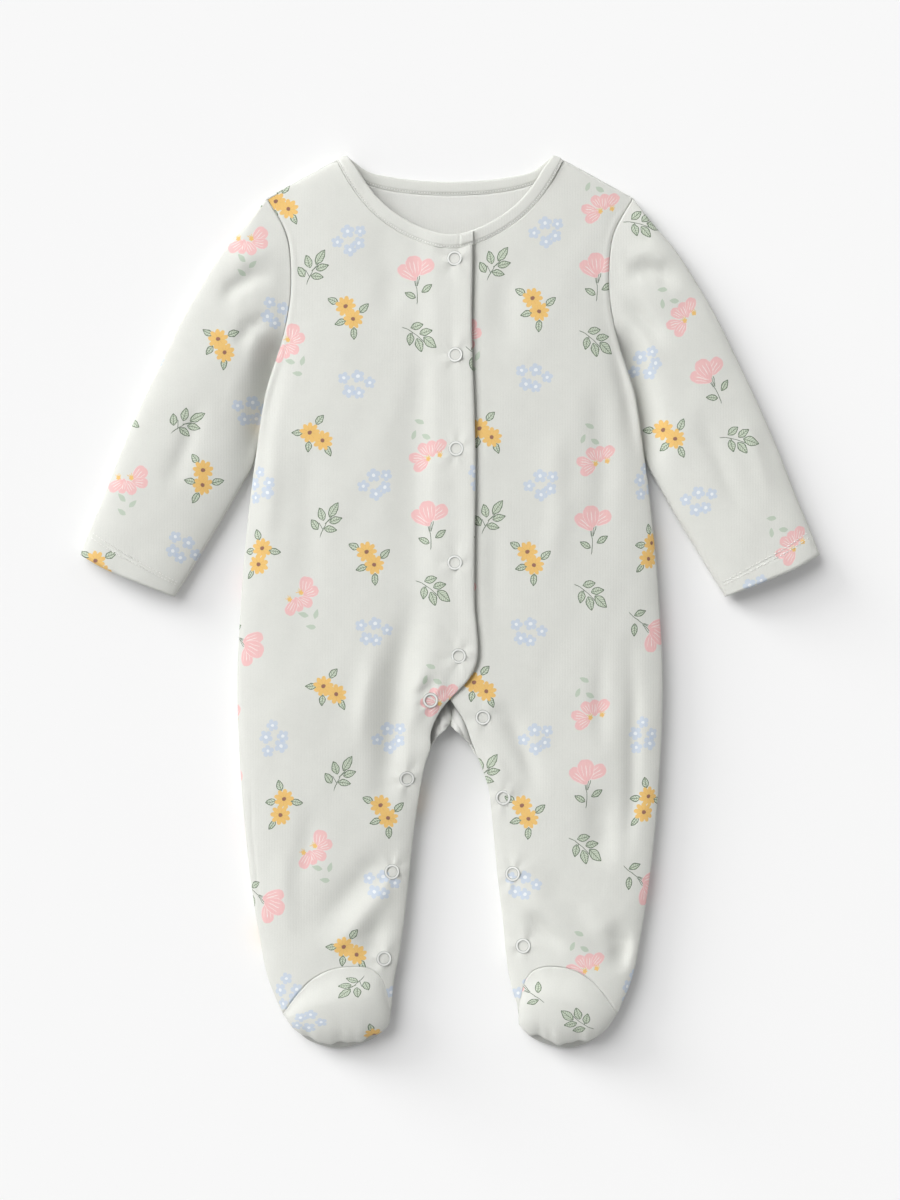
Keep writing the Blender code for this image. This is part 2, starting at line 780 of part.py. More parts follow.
def band_half(side, front_places, back_places):
    """Stations from the front's middle, over the shoulder, to the back's middle."""
    stations = []
    for x in front_places:
        sewn, free = band_edges(front_neckline, x)
        lift = stand_lift(side, side * x)
        z = surface_height(side * x, sewn[1]) + lift - WALL / 2
        z += BAND_TURN * smoothstep(*BAND_TURN_BLEND, x)
        stations.append(band_station(sewn, free, z, z + BAND_RISE))
    width_way = (free - sewn).normalized()
    over = Vector((width_way.y, -width_way.x)) * -BAND_TURN
    stations.append(band_station(sewn + over, free + over, SHOULDER_HEIGHT, SHOULDER_HEIGHT))
    for x in back_places:
        sewn, free = band_edges(back_neckline, x, width_way)
        z = back_height(side, side * x, sewn[1]) + WALL / 2
        z = max(BAND_THICKNESS / 2, min(z, SHOULDER_HEIGHT - BAND_TURN))
        stations.append(band_station(sewn, free, z, z))
    return [[(side * x, y, z) for x, y, z in row] for row in stations]


def band_lap(side):
    """The short end that runs past the middle, over or under the other front."""
    rows = []
    end = front_inner[side](SNAPS[0][2])
    for x in (end, end / 2):
        y = front_neckline(abs(x)) + HALF_GAP
        z = surface_height(x, y) + stand_lift(side, x) - WALL / 2
        rows.append(band_station((x, y), (x, y + BAND_WIDTH), z, z + BAND_RISE))
    return rows


def neckband(name):
    """A bound strip round the neck, lapped at the front like the button stands."""

    def places(inner, outer, columns):
        """The x of each column that ends on a neckline, so that both edges share their bends."""
        found = [abs(mix(outer, inner, share)) for share in columns
                 if mix(outer, inner, share) * outer > 0.0]
        return [x for x in found if x < SHOULDER_NECK[0]]

    halves = {}
    for side in (RIGHT, LEFT):
        outer = side * SHOULDER_TIP[0]
        front = sorted(places(front_inner[side](TOP_BAND_FROM), outer, FRONT_COLUMNS))
        back = sorted(places(BACK_CROTCH[0], outer, BACK_COLUMNS), reverse=True)
        neck = SHOULDER_NECK[0]
        halves[side] = band_lap(side) + band_half(side, [*front, neck], [neck, *back])
    rows = halves[RIGHT] + halves[LEFT][::-1]
    return cloth(name, [rows], faces_up=True, thickness=BAND_THICKNESS, offset=0.0, finish=RIB)


# ---------------------------------------------------------------- snaps


def snap(name, x, y, side):
    """A ring snap, tilted with the cloth it sits on and a hair above it."""

    def height(px, py):
        return surface_height(px, py) + stand_lift(side, px) + HALF_GAP

    reach = SNAP_RADIUS
    slope_x = (height(x + reach, y) - height(x - reach, y)) / (2 * reach)
    slope_y = (height(x, y + reach) - height(x, y - reach)) / (2 * reach)
    ring = [height(x + reach * math.cos(a), y + reach * math.sin(a)) -
            reach * (slope_x * math.cos(a) + slope_y * math.sin(a))
            for a in (math.pi * i / 4 for i in range(8))]
    seat = max([height(x, y)] + ring) + SNAP_WIRE + SNAP_GAP
    bpy.ops.mesh.primitive_torus_add(
        major_radius=SNAP_RADIUS * MM,
        minor_radius=SNAP_WIRE * MM,
        major_segments=14,
        minor_segments=6,
        location=(x * MM, y * MM, seat * MM),
        rotation=(math.atan(slope_y), -math.atan(slope_x), 0.0),
    )
    made = bpy.context.object
    made.name = name
    made.data.name = name
    made.data.materials.append(ENAMEL)
    made.data.shade_smooth()
    for holder in list(made.users_collection):
        holder.objects.unlink(made)
    garment.objects.link(made)


front_panel("front_right", RIGHT)
front_panel("front_left", LEFT)
back_panel("back")
sleeve("sleeve_right", RIGHT)
sleeve("sleeve_left", LEFT)
neckband("neckband")
toe_cap("toe_cap_right", RIGHT)
toe_cap("toe_cap_left", LEFT)
sole("sole_right", RIGHT)
sole("sole_left", LEFT)
for snap_name, snap_x, snap_y, snap_side in SNAPS:
    snap(snap_name, snap_x, snap_y, snap_side)
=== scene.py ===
"""Looks of a footed baby sleepsuit in printed cotton jersey, laid flat on a white table.

Sizes and tables are in millimetres, as in the CAD model, and MM turns them into metres.
X points to the wearer's left, Y from the feet to the neck, Z up from the table. Each cloth
piece is a fine sheet of points on its solid's form, with creases added as soft troughs and
ridges. The print is drawn in the cloth's material, one material for each kind of motif.
"""

import json
import math

import bmesh
import bpy
import numpy as np
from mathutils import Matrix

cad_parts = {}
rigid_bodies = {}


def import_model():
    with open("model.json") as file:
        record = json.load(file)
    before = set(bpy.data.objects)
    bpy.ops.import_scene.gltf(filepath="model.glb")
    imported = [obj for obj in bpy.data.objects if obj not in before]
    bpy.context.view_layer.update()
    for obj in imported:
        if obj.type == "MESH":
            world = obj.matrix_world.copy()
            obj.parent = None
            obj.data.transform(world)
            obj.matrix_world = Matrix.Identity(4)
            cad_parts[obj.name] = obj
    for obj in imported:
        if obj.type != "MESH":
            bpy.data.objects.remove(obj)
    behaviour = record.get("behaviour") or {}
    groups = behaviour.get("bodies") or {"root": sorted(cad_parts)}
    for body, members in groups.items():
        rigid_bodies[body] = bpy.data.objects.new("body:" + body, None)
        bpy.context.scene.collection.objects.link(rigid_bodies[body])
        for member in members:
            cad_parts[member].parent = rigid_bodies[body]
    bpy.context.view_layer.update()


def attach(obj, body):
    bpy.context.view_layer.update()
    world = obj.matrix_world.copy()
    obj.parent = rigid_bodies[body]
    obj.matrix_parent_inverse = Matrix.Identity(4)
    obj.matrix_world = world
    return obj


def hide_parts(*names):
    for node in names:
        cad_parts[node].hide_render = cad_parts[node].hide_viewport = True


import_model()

MM = 0.001
RIGHT = -1  # the wearer's right, at -X: this front lies on top
LEFT = 1
WALL = 1.1

# ------------------------------------------------------------------ outlines, as in the CAD

# height along Y, half width: outer leg, side seam, armhole seam, shoulder tip
BODY_OUTLINE = (
    (-262.0, 98.5),
    (-257.0, 102.0),
    (-235.0, 111.6),
    (-216.0, 116.0),
    (-165.0, 123.9),
    (-102.0, 129.4),
    (-50.0, 131.1),
    (0.0, 128.8),
    (40.0, 125.5),
    (79.0, 121.0),
    (124.0, 114.4),
    (137.0, 111.0),
    (160.0, 103.5),
    (186.0, 98.4),
    (213.0, 98.5),
    (228.5, 101.9),
    (248.4, 113.0),
)

# height along Y, x of each front's inner edge: inner leg, crotch, then the button stand
FRONT_INNER = {
    RIGHT: (
        (-262.0, -37.5),
        (-255.0, -36.5),
        (-236.0, -34.7),
        (-215.5, -30.9),
        (-188.0, -27.2),
        (-157.0, -24.0),
        (-133.0, -21.0),
        (-102.5, -15.8),
        (-91.0, -12.1),
        (-81.0, -11.7),
        (-67.6, -5.5),
        (-58.0, 2.7),
        (-48.0, 12.0),
        (-34.0, 17.1),
        (0.0, 15.0),
        (90.0, 15.6),
        (170.0, 13.4),
        (219.0, 14.4),
    ),
    LEFT: (
        (-262.0, 42.5),
        (-250.0, 41.5),
        (-241.0, 38.6),
        (-225.0, 35.3),
        (-198.0, 32.7),
        (-172.0, 29.5),
        (-135.0, 26.0),
        (-117.0, 23.9),
        (-101.0, 18.8),
        (-88.0, 13.6),
        (-73.7, 8.4),
        (-61.4, 0.3),
        (-50.0, -6.0),
        (-35.0, -9.0),
        (219.0, -9.0),
    ),
}

BACK_CROTCH = (0.0, -76.0)
# height along Y, x of the back's inner edge between the crotch and the inner leg
BACK_CROTCH_EDGE = {
    RIGHT: ((-93.0, -12.6), (-87.0, -9.5), (-81.5, -4.6), (-76.0, 0.0)),
    LEFT: ((-96.0, 15.6), (-90.0, 12.4), (-84.0, 7.0), (-76.0, 0.0)),
}

# height along Y, height of the side and leg seams above the table
SEAM_HEIGHT = (
    (-262.0, 8.0),
    (-216.0, 7.5),
    (-100.0, 7.5),
    (0.0, 7.5),
    (79.0, 8.0),
    (124.0, 8.5),
    (248.4, 8.0),
)

# height along Y, height of the front along its armhole edge
ARMHOLE_HEIGHT = (
    (110.0, 8.0),
    (124.0, 8.5),
    (137.0, 9.5),
    (160.0, 11.0),
    (200.0, 11.5),
    (225.0, 10.0),
    (248.4, 6.5),
)

# height along Y, height of the front's crown
FRONT_CROWN = (
    (-262.0, 17.0),
    (-225.0, 16.0),
    (-160.0, 15.5),
    (-100.0, 17.0),
    (-40.0, 19.0),
    (50.0, 20.0),
    (150.0, 18.0),
    (216.0, 14.0),
    (250.0, 12.0),
)

SHOULDER_TIP = (113.0, 248.4)
SHOULDER_NECK = (70.0, 272.0)
SHOULDER_HEIGHT = 6.5
SHOULDER_ROLL = 40.0

# x, height along Y of the front neckline, mirrored about X = 0
FRONT_NECKLINE = (
    (0.0, 216.0),
    (10.0, 217.4),
    (28.0, 224.6),
    (43.0, 234.5),
    (54.0, 245.5),
    (63.0, 258.5),
    (70.0, 272.0),
)
BACK_NECKLINE = (
    (0.0, 250.6),
    (20.0, 251.4),
    (40.0, 254.2),
    (55.0, 259.0),
    (64.0, 265.0),
    (70.0, 272.0),
)

BODY_POWER = 2.6
LEG_POWER = 2.4
EDGE_EASE = 0.9  # how far past the outline the sides' curve would end
CROTCH_RISE = 4.0  # how much higher the inner legs' edges stand beside the crotch
LEG_MERGE = 9.0
ARMHOLE_POWER = 5.0
SIDE_CURL = 14.0
LEG_CURL = 9.0
SHOULDER_CURL = 12.0

STAND_LIFT = 1.9
STAND_LIFT_FROM = -23.0
STAND_LIFT_TO = -8.0
TOP_BAND_FROM = 196.0
FOOT_BAND_FROM = -205.0

# share of the foot's width from its outer edge, height along Y of the toe cap's arched seam
ARCH_SEAM = (
    (0.0, -255.0),
    (0.12, -244.0),
    (0.26, -234.0),
    (0.44, -227.5),
    (0.65, -225.3),
    (0.83, -227.5),
    (0.93, -235.0),
    (1.0, -252.0),
)
TOE_OUTLINE = (
    (0.0, -261.0),
    (0.07, -266.0),
    (0.2, -272.5),
    (0.45, -276.8),
    (0.67, -275.0),
    (0.87, -270.0),
    (1.0, -262.0),
)
HEEL_SEAM = -228.0
TOE_CROWN = 21.0
TOE_SEAM_HEIGHT = 8.0
TOE_POWER = 2.4

# x, y of the wearer's left sleeve's outer fold, from the shoulder tip to the cuff
SLEEVE_OUTER = (
    (113.2, 248.3),
    (125.0, 233.0),
    (139.0, 216.5),
    (153.0, 195.0),
    (165.0, 174.0),
    (176.0, 151.5),
    (190.0, 122.0),
    (203.0, 92.0),
    (213.0, 66.0),
    (221.0, 47.0),
    (228.5, 28.0),
)
# x, y of its inner fold, from the underarm, where the body's edge hides it, to the cuff
SLEEVE_INNER = (
    (112.4, 125.0),
    (115.4, 112.0),
    (118.4, 98.0),
    (121.6, 84.0),
    (128.5, 71.0),
    (140.0, 51.0),
    (150.6, 33.5),
    (162.0, 14.7),
    (170.0, 2.0),
)
SLEEVE_CUFF = ((228.5, 28.0), (212.8, 19.2), (194.1, 11.4), (170.0, 2.0))
SLEEVE_EDGE_HEIGHT = 6.0
UNDERARM_EDGE_HEIGHT = 2.2
SLEEVE_CROWN = 15.5
CUFF_CROWN = 13.5
SLEEVE_POWER = 2.3
UNDERARM_POWER = 1.35
SLEEVE_CURL = 8.0
FOLD_BLEND = 3.5

BAND_WIDTH = 8.5
BAND_THICKNESS = 1.9
BAND_TURN = 1.7

SNAP_OUTER = 4.75
SNAP_INNER = 3.05
# node, x, y, and the front it is fixed to
SNAPS = (
    ("snap_neck", 2.8, 210.0, RIGHT),
    ("snap_chest", 3.2, 150.5, RIGHT),
    ("snap_waist_top", 3.7, 92.8, RIGHT),
    ("snap_waist", 2.9, 22.9, RIGHT),
    ("snap_belly", 5.3, -34.3, RIGHT),
    ("snap_crotch_right", -12.0, -61.6, RIGHT),
    ("snap_crotch_left", 20.2, -72.2, LEFT),
    ("snap_thigh_right", -26.5, -110.0, RIGHT),
    ("snap_knee_right", -35.7, -167.3, RIGHT),
    ("snap_ankle_right", -40.6, -220.7, RIGHT),
    ("snap_thigh_left", 32.7, -121.6, LEFT),
    ("snap_knee_left", 38.6, -168.5, LEFT),
    ("snap_ankle_left", 45.0, -212.8, LEFT),
)

# ------------------------------------------------------------------ creases

# depth (a trough is negative), half width, then the line it follows in plan
CREASES = (
    # beside the button stand and down into the right leg
    (-1.2, 8.0, ((-17, 200), (-16, 150), (-17, 90), (-18, 40), (-19, -5))),
    (-1.2, 9.0, ((-24, 150), (-27, 100), (-27, 40), (-28, 0))),
    (-4.2, 8.0, ((-20, 14), (-26, -12), (-32, -45), (-36, -80), (-40, -116), (-38, -146))),
    (1.8, 6.0, ((-46, -20), (-52, -60), (-56, -100))),
    (1.6, 4.5, ((-13, -34), (-20, -56), (-24, -84))),
    (-1.3, 3.5, ((-8, -44), (-14, -54), (-24, -62))),
    # right ankle: a ridge from the knee snap to the outer ankle between two hollows
    (1.7, 6.0, ((-26, -164), (-44, -184), (-62, -204), (-80, -222))),
    (-2.2, 8.0, ((-32, -148), (-50, -166), (-68, -188), (-86, -210))),
    (-2.0, 6.5, ((-38, -192), (-48, -208), (-50, -228))),
    (-1.2, 7.0, ((-84, -120), (-88, -150), (-92, -180))),
    (1.2, 6.0, ((-104, -150), (-102, -180), (-98, -208))),
    # left leg: its hollow below the crotch, the ridge across the ankle, the outer edge
    (-2.4, 5.5, ((28, -56), (38, -76), (48, -98), (54, -122))),
    (1.2, 5.0, ((22, -90), (30, -104), (40, -124))),
    (1.7, 6.0, ((34, -170), (54, -188), (74, -204), (94, -217))),
    (-1.6, 7.0, ((48, -158), (66, -178), (84, -196), (104, -206))),
    (-1.8, 6.5, ((44, -190), (58, -206), (72, -218))),
    (-3.6, 7.0, ((98, -196), (106, -212), (104, -232))),
    (-2.0, 5.0, ((110, -10), (113, -60), (112, -120), (108, -176))),
    (-1.2, 5.0, ((94, -20), (92, -60), (94, -100))),
    (-2.6, 9.0, ((91, -112), (94, -140), (92, -168))),
    # the leg seams, just inside the outline
    (-0.7, 1.1, ((-123, -96), (-122, -144), (-117, -192), (-108, -232))),
    (-0.7, 1.1, ((128, -96), (125, -150), (119, -196), (109, -240))),
    # torso
    (-1.2, 9.0, ((-44, 232), (-37, 200), (-38, 168))),
    (-1.1, 9.0, ((-92, 130), (-86, 80), (-88, 20), (-94, -40))),
    (1.3, 6.0, ((-106, 120), (-110, 70), (-112, 20))),
    (-1.3, 8.0, ((32, 210), (33, 185), (38, 150))),
    (-1.6, 8.0, ((84, 150), (92, 118), (94, 70), (90, 20))),
    (1.0, 7.0, ((62, 120), (66, 60), (62, 0))),
    (-1.0, 6.0, ((24, 60), (27, 20), (25, -24))),
    # sleeve caps, and the valley where each sleeve goes in under the body
    (-3.4, 5.0, ((-143, 178), (-134, 192), (-122, 199), (-106, 199))),
    (1.6, 5.0, ((-140, 204), (-126, 212), (-108, 212))),
    (-2.6, 5.0, ((-132, 152), (-124, 168), (-108, 176))),
    (-4.6, 7.0, ((-105, 172), (-110, 150), (-116, 126), (-122, 98), (-127, 76))),
    (-3.6, 5.0, ((106, 199), (118, 204), (130, 202), (142, 190))),
    (1.6, 5.0, ((108, 213), (124, 215), (140, 204))),
    (-3.0, 5.5, ((104, 188), (112, 180), (124, 168), (134, 152))),
    (-6.0, 8.0, ((103, 176), (109, 154), (115, 128), (121, 100), (127, 76))),
    (-1.6, 6.0, ((-150, 130), (-162, 96), (-176, 60))),
    (-1.4, 6.0, ((150, 120), (166, 86), (180, 50))),
    (1.4, 6.0, ((178, 120), (190, 88), (200, 60))),
)
CREASE_DEPTH = 1.15
CREASE_FADE = 0.42  # share of a crease's length over which each end fades
PUCKER_REACH = 8.0
PUCKER_DEPTH = 0.45
ARMHOLE_RIDGE = 0.3

# ------------------------------------------------------------------ maths helpers


def mix(low, high, share):
    return low + (high - low) * share


def smoothstep(low, high, value):
    share = np.clip((value - low) / (high - low), 0.0, 1.0)
    return share * share * (3.0 - 2.0 * share)


def smooth_curve(rows):
    """A smooth function of arrays through rows of (position, value)."""
    places = np.array([row[0] for row in rows], float)
    values = np.array([row[1] for row in rows], float)
    slopes = np.gradient(values)
    slopes[1:-1] = (values[2:] - values[:-2]) / (places[2:] - places[:-2])
    slopes[0] = (values[1] - values[0]) / (places[1] - places[0])
    slopes[-1] = (values[-1] - values[-2]) / (places[-1] - places[-2])

    def curve(at):
        at = np.clip(at, places[0], places[-1])
        i = np.clip(np.searchsorted(places, at, side="right") - 1, 0, len(places) - 2)
        span = places[i + 1] - places[i]
        s = (at - places[i]) / span
        start = (1 + 2 * s) * (1 - s) ** 2 * values[i] + s * (1 - s) ** 2 * span * slopes[i]
        end = s * s * (3 - 2 * s) * values[i + 1] - s * s * (1 - s) * span * slopes[i + 1]
        return start + end

    return curve


def smooth_path(points):
    """A smooth plan path through (x, y) points, as a function of the share of its length."""
    steps = [math.dist(a, b) for a, b in zip(points, points[1:])]
    shares = np.concatenate([[0.0], np.cumsum(steps)]) / sum(steps)
    x_at = smooth_curve(list(zip(shares, [p[0] for p in points])))
    y_at = smooth_curve(list(zip(shares, [p[1] for p in points])))
    return lambda share: np.stack([x_at(share), y_at(share)], axis=-1)


def bulge(across, power):
    return np.maximum(0.0, 1.0 - np.abs(across) ** power) ** (1.0 / power)


def curl(distance, width):
    """1 at an edge, falling to 0 at width inside it, upright at the edge and level inside."""
    share = np.clip(distance / width, 0.0, 1.0)
    return 1.0 - np.sqrt(1.0 - (1.0 - share) ** 2)


def from_line(x, y, line):
    """Distance of each point from a line of (x, y) points, and its share along the line."""
    steps = [math.dist(a, b) for a, b in zip(line, line[1:])]
    total = sum(steps)
    nearest = np.full(np.shape(x), 1e9)
    share = np.zeros(np.shape(x))
    run = 0.0
    for (ax, ay), (bx, by), step in zip(line, line[1:], steps):
        t = np.clip(((x - ax) * (bx - ax) + (y - ay) * (by - ay)) / step**2, 0.0, 1.0)
        away = np.hypot(x - mix(ax, bx, t), y - mix(ay, by, t))
        closer = away < nearest
        nearest = np.where(closer, away, nearest)
        share = np.where(closer, (run + t * step) / total, share)
        run += step
    return nearest, share


half_width = smooth_curve(BODY_OUTLINE)
seam_height = smooth_curve(SEAM_HEIGHT)
armhole_height = smooth_curve(ARMHOLE_HEIGHT)
front_crown = smooth_curve(FRONT_CROWN)
front_neckline = smooth_curve(FRONT_NECKLINE)
back_neckline = smooth_curve(BACK_NECKLINE)
arch_seam = smooth_curve(ARCH_SEAM)
toe_outline = smooth_curve(TOE_OUTLINE)
front_inner = {side: smooth_curve(FRONT_INNER[side]) for side in (RIGHT, LEFT)}
back_crotch_edge = {side: smooth_curve(BACK_CROTCH_EDGE[side]) for side in (RIGHT, LEFT)}


def shoulder_line(x):
    slope = (SHOULDER_NECK[1] - SHOULDER_TIP[1]) / (SHOULDER_TIP[0] - SHOULDER_NECK[0])
    return SHOULDER_TIP[1] + (SHOULDER_TIP[0] - np.abs(x)) * slope


def armhole_share(y):
    """0 along the side seam, 1 along the armhole."""
    return smoothstep(140.0, 172.0, y)


def leg_share(y):
    return 1.0 - smoothstep(-85.0, -20.0, y)


def leg_inner(side, y):
    """Distance of a leg's inner side from X = 0, negative where the legs' forms merge."""
    return np.maximum(side * front_inner[side](y), -LEG_MERGE * smoothstep(-61.0, -42.0, y))


def creases(x, y):
    """Height that the creases and the puckers round the snaps add at each point."""
    height = np.zeros(np.shape(x))
    for depth, width, line in CREASES:
        away, share = from_line(x, y, line)
        ends = smoothstep(0.0, CREASE_FADE, share) * smoothstep(0.0, CREASE_FADE, 1.0 - share)
        height += CREASE_DEPTH * depth * np.exp(-((away / width) ** 2)) * ends
    for i, (_, sx, sy, _) in enumerate(SNAPS):
        away = np.hypot(x - sx, y - sy)
        angle = np.arctan2(y - sy, x - sx)
        reach = np.exp(-(((away - SNAP_OUTER) / PUCKER_REACH) ** 2)) * (away > SNAP_OUTER - 1.0)
        height += PUCKER_DEPTH * reach * np.sin(angle * (4 + i % 3) + 1.7 * i)
    return height


def ripple(x, y):
    """The small unevenness of laid-out jersey."""
    return (
        0.22 * np.sin(x / 9.0 + 1.3 * np.sin(y / 23.0)) * np.sin(y / 13.0 + 0.8 * np.sin(x / 17.0))
        + 0.12 * np.sin(x / 4.6 + y / 31.0) * np.sin(y / 6.1 - x / 19.0)
    )


CROTCH_RISE_AT = -88.0  # Y of the legs' raised inner edges
CROTCH_RISE_REACH = 38.0


def surface_height(x, y):
    """Height of the fronts' outer face, without the button stand's lift or the creases."""
    outer = half_width(y)
    inner = np.where(x < 0.0, leg_inner(RIGHT, y), leg_inner(LEFT, y))
    middle = (outer + inner) / 2
    torso = bulge(np.clip(x / (outer + EDGE_EASE), -1.0, 1.0), BODY_POWER)
    leg_half = outer - middle + EDGE_EASE
    leg = bulge(np.clip((np.abs(x) - middle) / leg_half, -1.0, 1.0), LEG_POWER)
    inward = smoothstep(0.0, -0.6, (np.abs(x) - middle) / (outer - middle))
    low = seam_height(y) + CROTCH_RISE * inward * np.exp(
        -(((y - CROTCH_RISE_AT) / CROTCH_RISE_REACH) ** 2))
    tube = low + (front_crown(y) - low) * mix(torso, leg, leg_share(y))
    low = armhole_height(y)
    across = np.clip(np.abs(x) / outer, 0.0, 1.0)
    chest = low + (front_crown(y) - low) * (1.0 - across**ARMHOLE_POWER)
    height = mix(tube, chest, armhole_share(y))
    below = np.maximum(0.0, shoulder_line(x) - y)
    roll = bulge(1.0 - np.clip(below / SHOULDER_ROLL, 0.0, 1.0), 2.2)
    return SHOULDER_HEIGHT + (height - SHOULDER_HEIGHT) * roll


def stand_lift(x):
    return STAND_LIFT * smoothstep(STAND_LIFT_FROM, STAND_LIFT_TO, x)


def edge_room(x, y):
    """0 on the body's outline and 1 well inside it, so that creases fade at the seams."""
    return smoothstep(0.0, 9.0, half_width(y) - np.abs(x))


STAND_EDGE_RISE = 1.1
STAND_EDGE_ROUND = 1.4
STAND_HOLLOW = 2.6  # depth of the left front's hollow beside the right front's edge
STAND_HOLLOW_WIDTH = 3.6


def front_height(side, x, y):
    """Height of a front's outer face with everything on it."""
    height = surface_height(x, y) + (creases(x, y) + ripple(x, y)) * edge_room(x, y)
    from_edge = half_width(y) - np.abs(x)
    along_armhole = smoothstep(118.0, 140.0, y) * smoothstep(246.0, 236.0, y)
    height = height + ARMHOLE_RIDGE * along_armhole * (
        np.exp(-(((from_edge - 2.2) / 1.5) ** 2)) - 0.9 * curl(np.maximum(from_edge, 0.0), 2.0))
    inner = front_inner[side](y)
    inside = side * (x - inner)
    if side == RIGHT:
        height = height + stand_lift(x)
        open_edge = smoothstep(-66.0, -40.0, y)
        height = height + STAND_EDGE_RISE * smoothstep(14.0, 2.5, inside) * open_edge
        height = height - STAND_EDGE_ROUND * curl(np.maximum(0.0, inside), 2.2) * open_edge
    else:
        under = smoothstep(-66.0, -45.0, y) * smoothstep(226.0, 205.0, y)
        beside = x - front_inner[RIGHT](y) + 0.5
        height = height - STAND_HOLLOW * np.exp(-((beside / STAND_HOLLOW_WIDTH) ** 2)) * under
    return height


# ------------------------------------------------------------------ materials

LINEN_WHITE = (0.9, 0.9, 0.9)
CLOTH = (0.668, 0.674, 0.634)
INSIDE = (0.715, 0.718, 0.685)
ENAMEL = (0.75, 0.755, 0.73)
# painted shade for the grooves beside each snap ring's two edges
ENAMEL_GROOVE_PAINTED_SHADE = (0.13, 0.14, 0.12)


class Nodes:
    """A node tree, with short calls for the nodes this script uses."""

    def __init__(self, tree):
        self.tree = tree

    def link(self, source, target):
        self.tree.links.new(source, target)

    def node(self, kind, inputs=None, **settings):
        made = self.tree.nodes.new(kind)
        for key, value in settings.items():
            setattr(made, key, value)
        for key, value in (inputs or {}).items():
            if isinstance(value, bpy.types.NodeSocket):
                self.link(value, made.inputs[key])
            else:
                made.inputs[key].default_value = value
        return made

    def maths(self, operation, *values, clamp=False):
        made = self.node("ShaderNodeMath", dict(enumerate(values)), operation=operation)
        made.use_clamp = clamp
        return made.outputs[0]

    def blend(self, share, low, high, blend_type="MIX"):
        made = self.node("ShaderNodeMix", data_type="RGBA", blend_type=blend_type)
        for socket, value in (("Factor", share), ("A", low), ("B", high)):
            slot = next(s for s in made.inputs if s.name == socket and s.enabled)
            if isinstance(value, bpy.types.NodeSocket):
                self.link(value, slot)
            else:
                slot.default_value = value if socket == "Factor" else (*value, 1.0)
        return next(s for s in made.outputs if s.enabled)


class Shader(Nodes):
    """A material's nodes round its Principled BSDF."""

    def __init__(self, name):
        self.material = bpy.data.materials.new(name)
        self.material.use_nodes = True
        super().__init__(self.material.node_tree)
        self.principled = self.tree.nodes["Principled BSDF"]

    def set(self, **values):
        for key, value in values.items():
            socket = self.principled.inputs[key.replace("_", " ")]
            if isinstance(value, bpy.types.NodeSocket):
                self.link(value, socket)
            elif isinstance(value, tuple):
                socket.default_value = (*value, 1.0)
            else:
                socket.default_value = value


def jersey_base(shader, colour):
    """Fine knit relief, soft mottling and nap. Returns the colour socket."""
    place = shader.node("ShaderNodeTexCoord").outputs["Object"]
    mottle = shader.node(
        "ShaderNodeTexNoise", {"Vector": place, "Scale": 95.0, "Detail": 3.0, "Roughness": 0.6}
    )
    grain = shader.node(
        "ShaderNodeTexNoise", {"Vector": place, "Scale": 1500.0, "Detail": 2.0, "Roughness": 0.7}
    )
    knit = shader.node(
        "ShaderNodeTexWave",
        {"Vector": place, "Scale": 190.0, "Distortion": 1.2, "Detail": 1.0, "Detail Scale": 3.0},
        bands_direction="X",
    )
    light = tuple(min(1.0, c * 1.035) for c in colour)
    dark = tuple(c * 0.965 for c in colour)
    tone = shader.blend(mottle.outputs["Fac"], dark, light)
    speck = shader.maths("MULTIPLY_ADD", grain.outputs["Fac"], 0.10, 0.95)
    grey = shader.node("ShaderNodeCombineColor", {0: speck, 1: speck, 2: speck}).outputs[0]
    tone = shader.blend(1.0, tone, grey, "MULTIPLY")
    relief = shader.maths("MULTIPLY_ADD", knit.outputs["Fac"], 0.35, grain.outputs["Fac"])
    bump = shader.node(
        "ShaderNodeBump", {"Height": relief, "Strength": 0.3, "Distance": 0.0003}
    )
    rough = shader.maths("MULTIPLY_ADD", mottle.outputs["Fac"], 0.08, 0.84)
    shader.set(Roughness=rough, Normal=bump.outputs["Normal"])
    shader.set(Sheen_Weight=0.18, Sheen_Roughness=0.5, Specular_IOR_Level=0.25)
    return tone


def plain_jersey(name, colour):
    shader = Shader(name)
    shader.set(Base_Color=jersey_base(shader, colour))
    return shader.material


JERSEY = plain_jersey("jersey", CLOTH)
REVERSE = plain_jersey("jersey_reverse", INSIDE)
# the sole's jersey is the cloth darkened to 0.7: painted shade on the strip of sole that shows below each
# toe cap
SOLE_PAINTED_SHADE = plain_jersey("sole_jersey", tuple(c * 0.7 for c in CLOTH))
BINDING = plain_jersey("binding_jersey", tuple(c * 1.02 for c in CLOTH))
# the band's faces along its sewn seam take the cloth darkened to 0.82: painted shade in the seam's groove
BINDING_SEAM_PAINTED_SHADE = plain_jersey("binding_seam_painted_shade", tuple(c * 0.82 for c in CLOTH))

# ------------------------------------------------------------------ the print

# the inks, as linear colours, and how much of the cloth's tone they cover
PRINT_STRENGTH = 0.92
LEAF_INK = (0.53, 0.61, 0.47)
LOOSE_LEAF_INK = (0.44, 0.53, 0.42)
LINE_INK = (0.055, 0.105, 0.045)
STEM_INK = (0.06, 0.105, 0.05)
PINK_INK = (0.80, 0.45, 0.45)
WHITE_INK = (0.86, 0.80, 0.77)
YELLOW_INK = (0.79, 0.49, 0.13)
YELLOW_DEEP_INK = (0.62, 0.30, 0.06)
CENTRE_INK = (0.22, 0.07, 0.06)
BLUE_INK = (0.47, 0.565, 0.72)
BLUE_CENTRE_INK = (0.78, 0.81, 0.83)
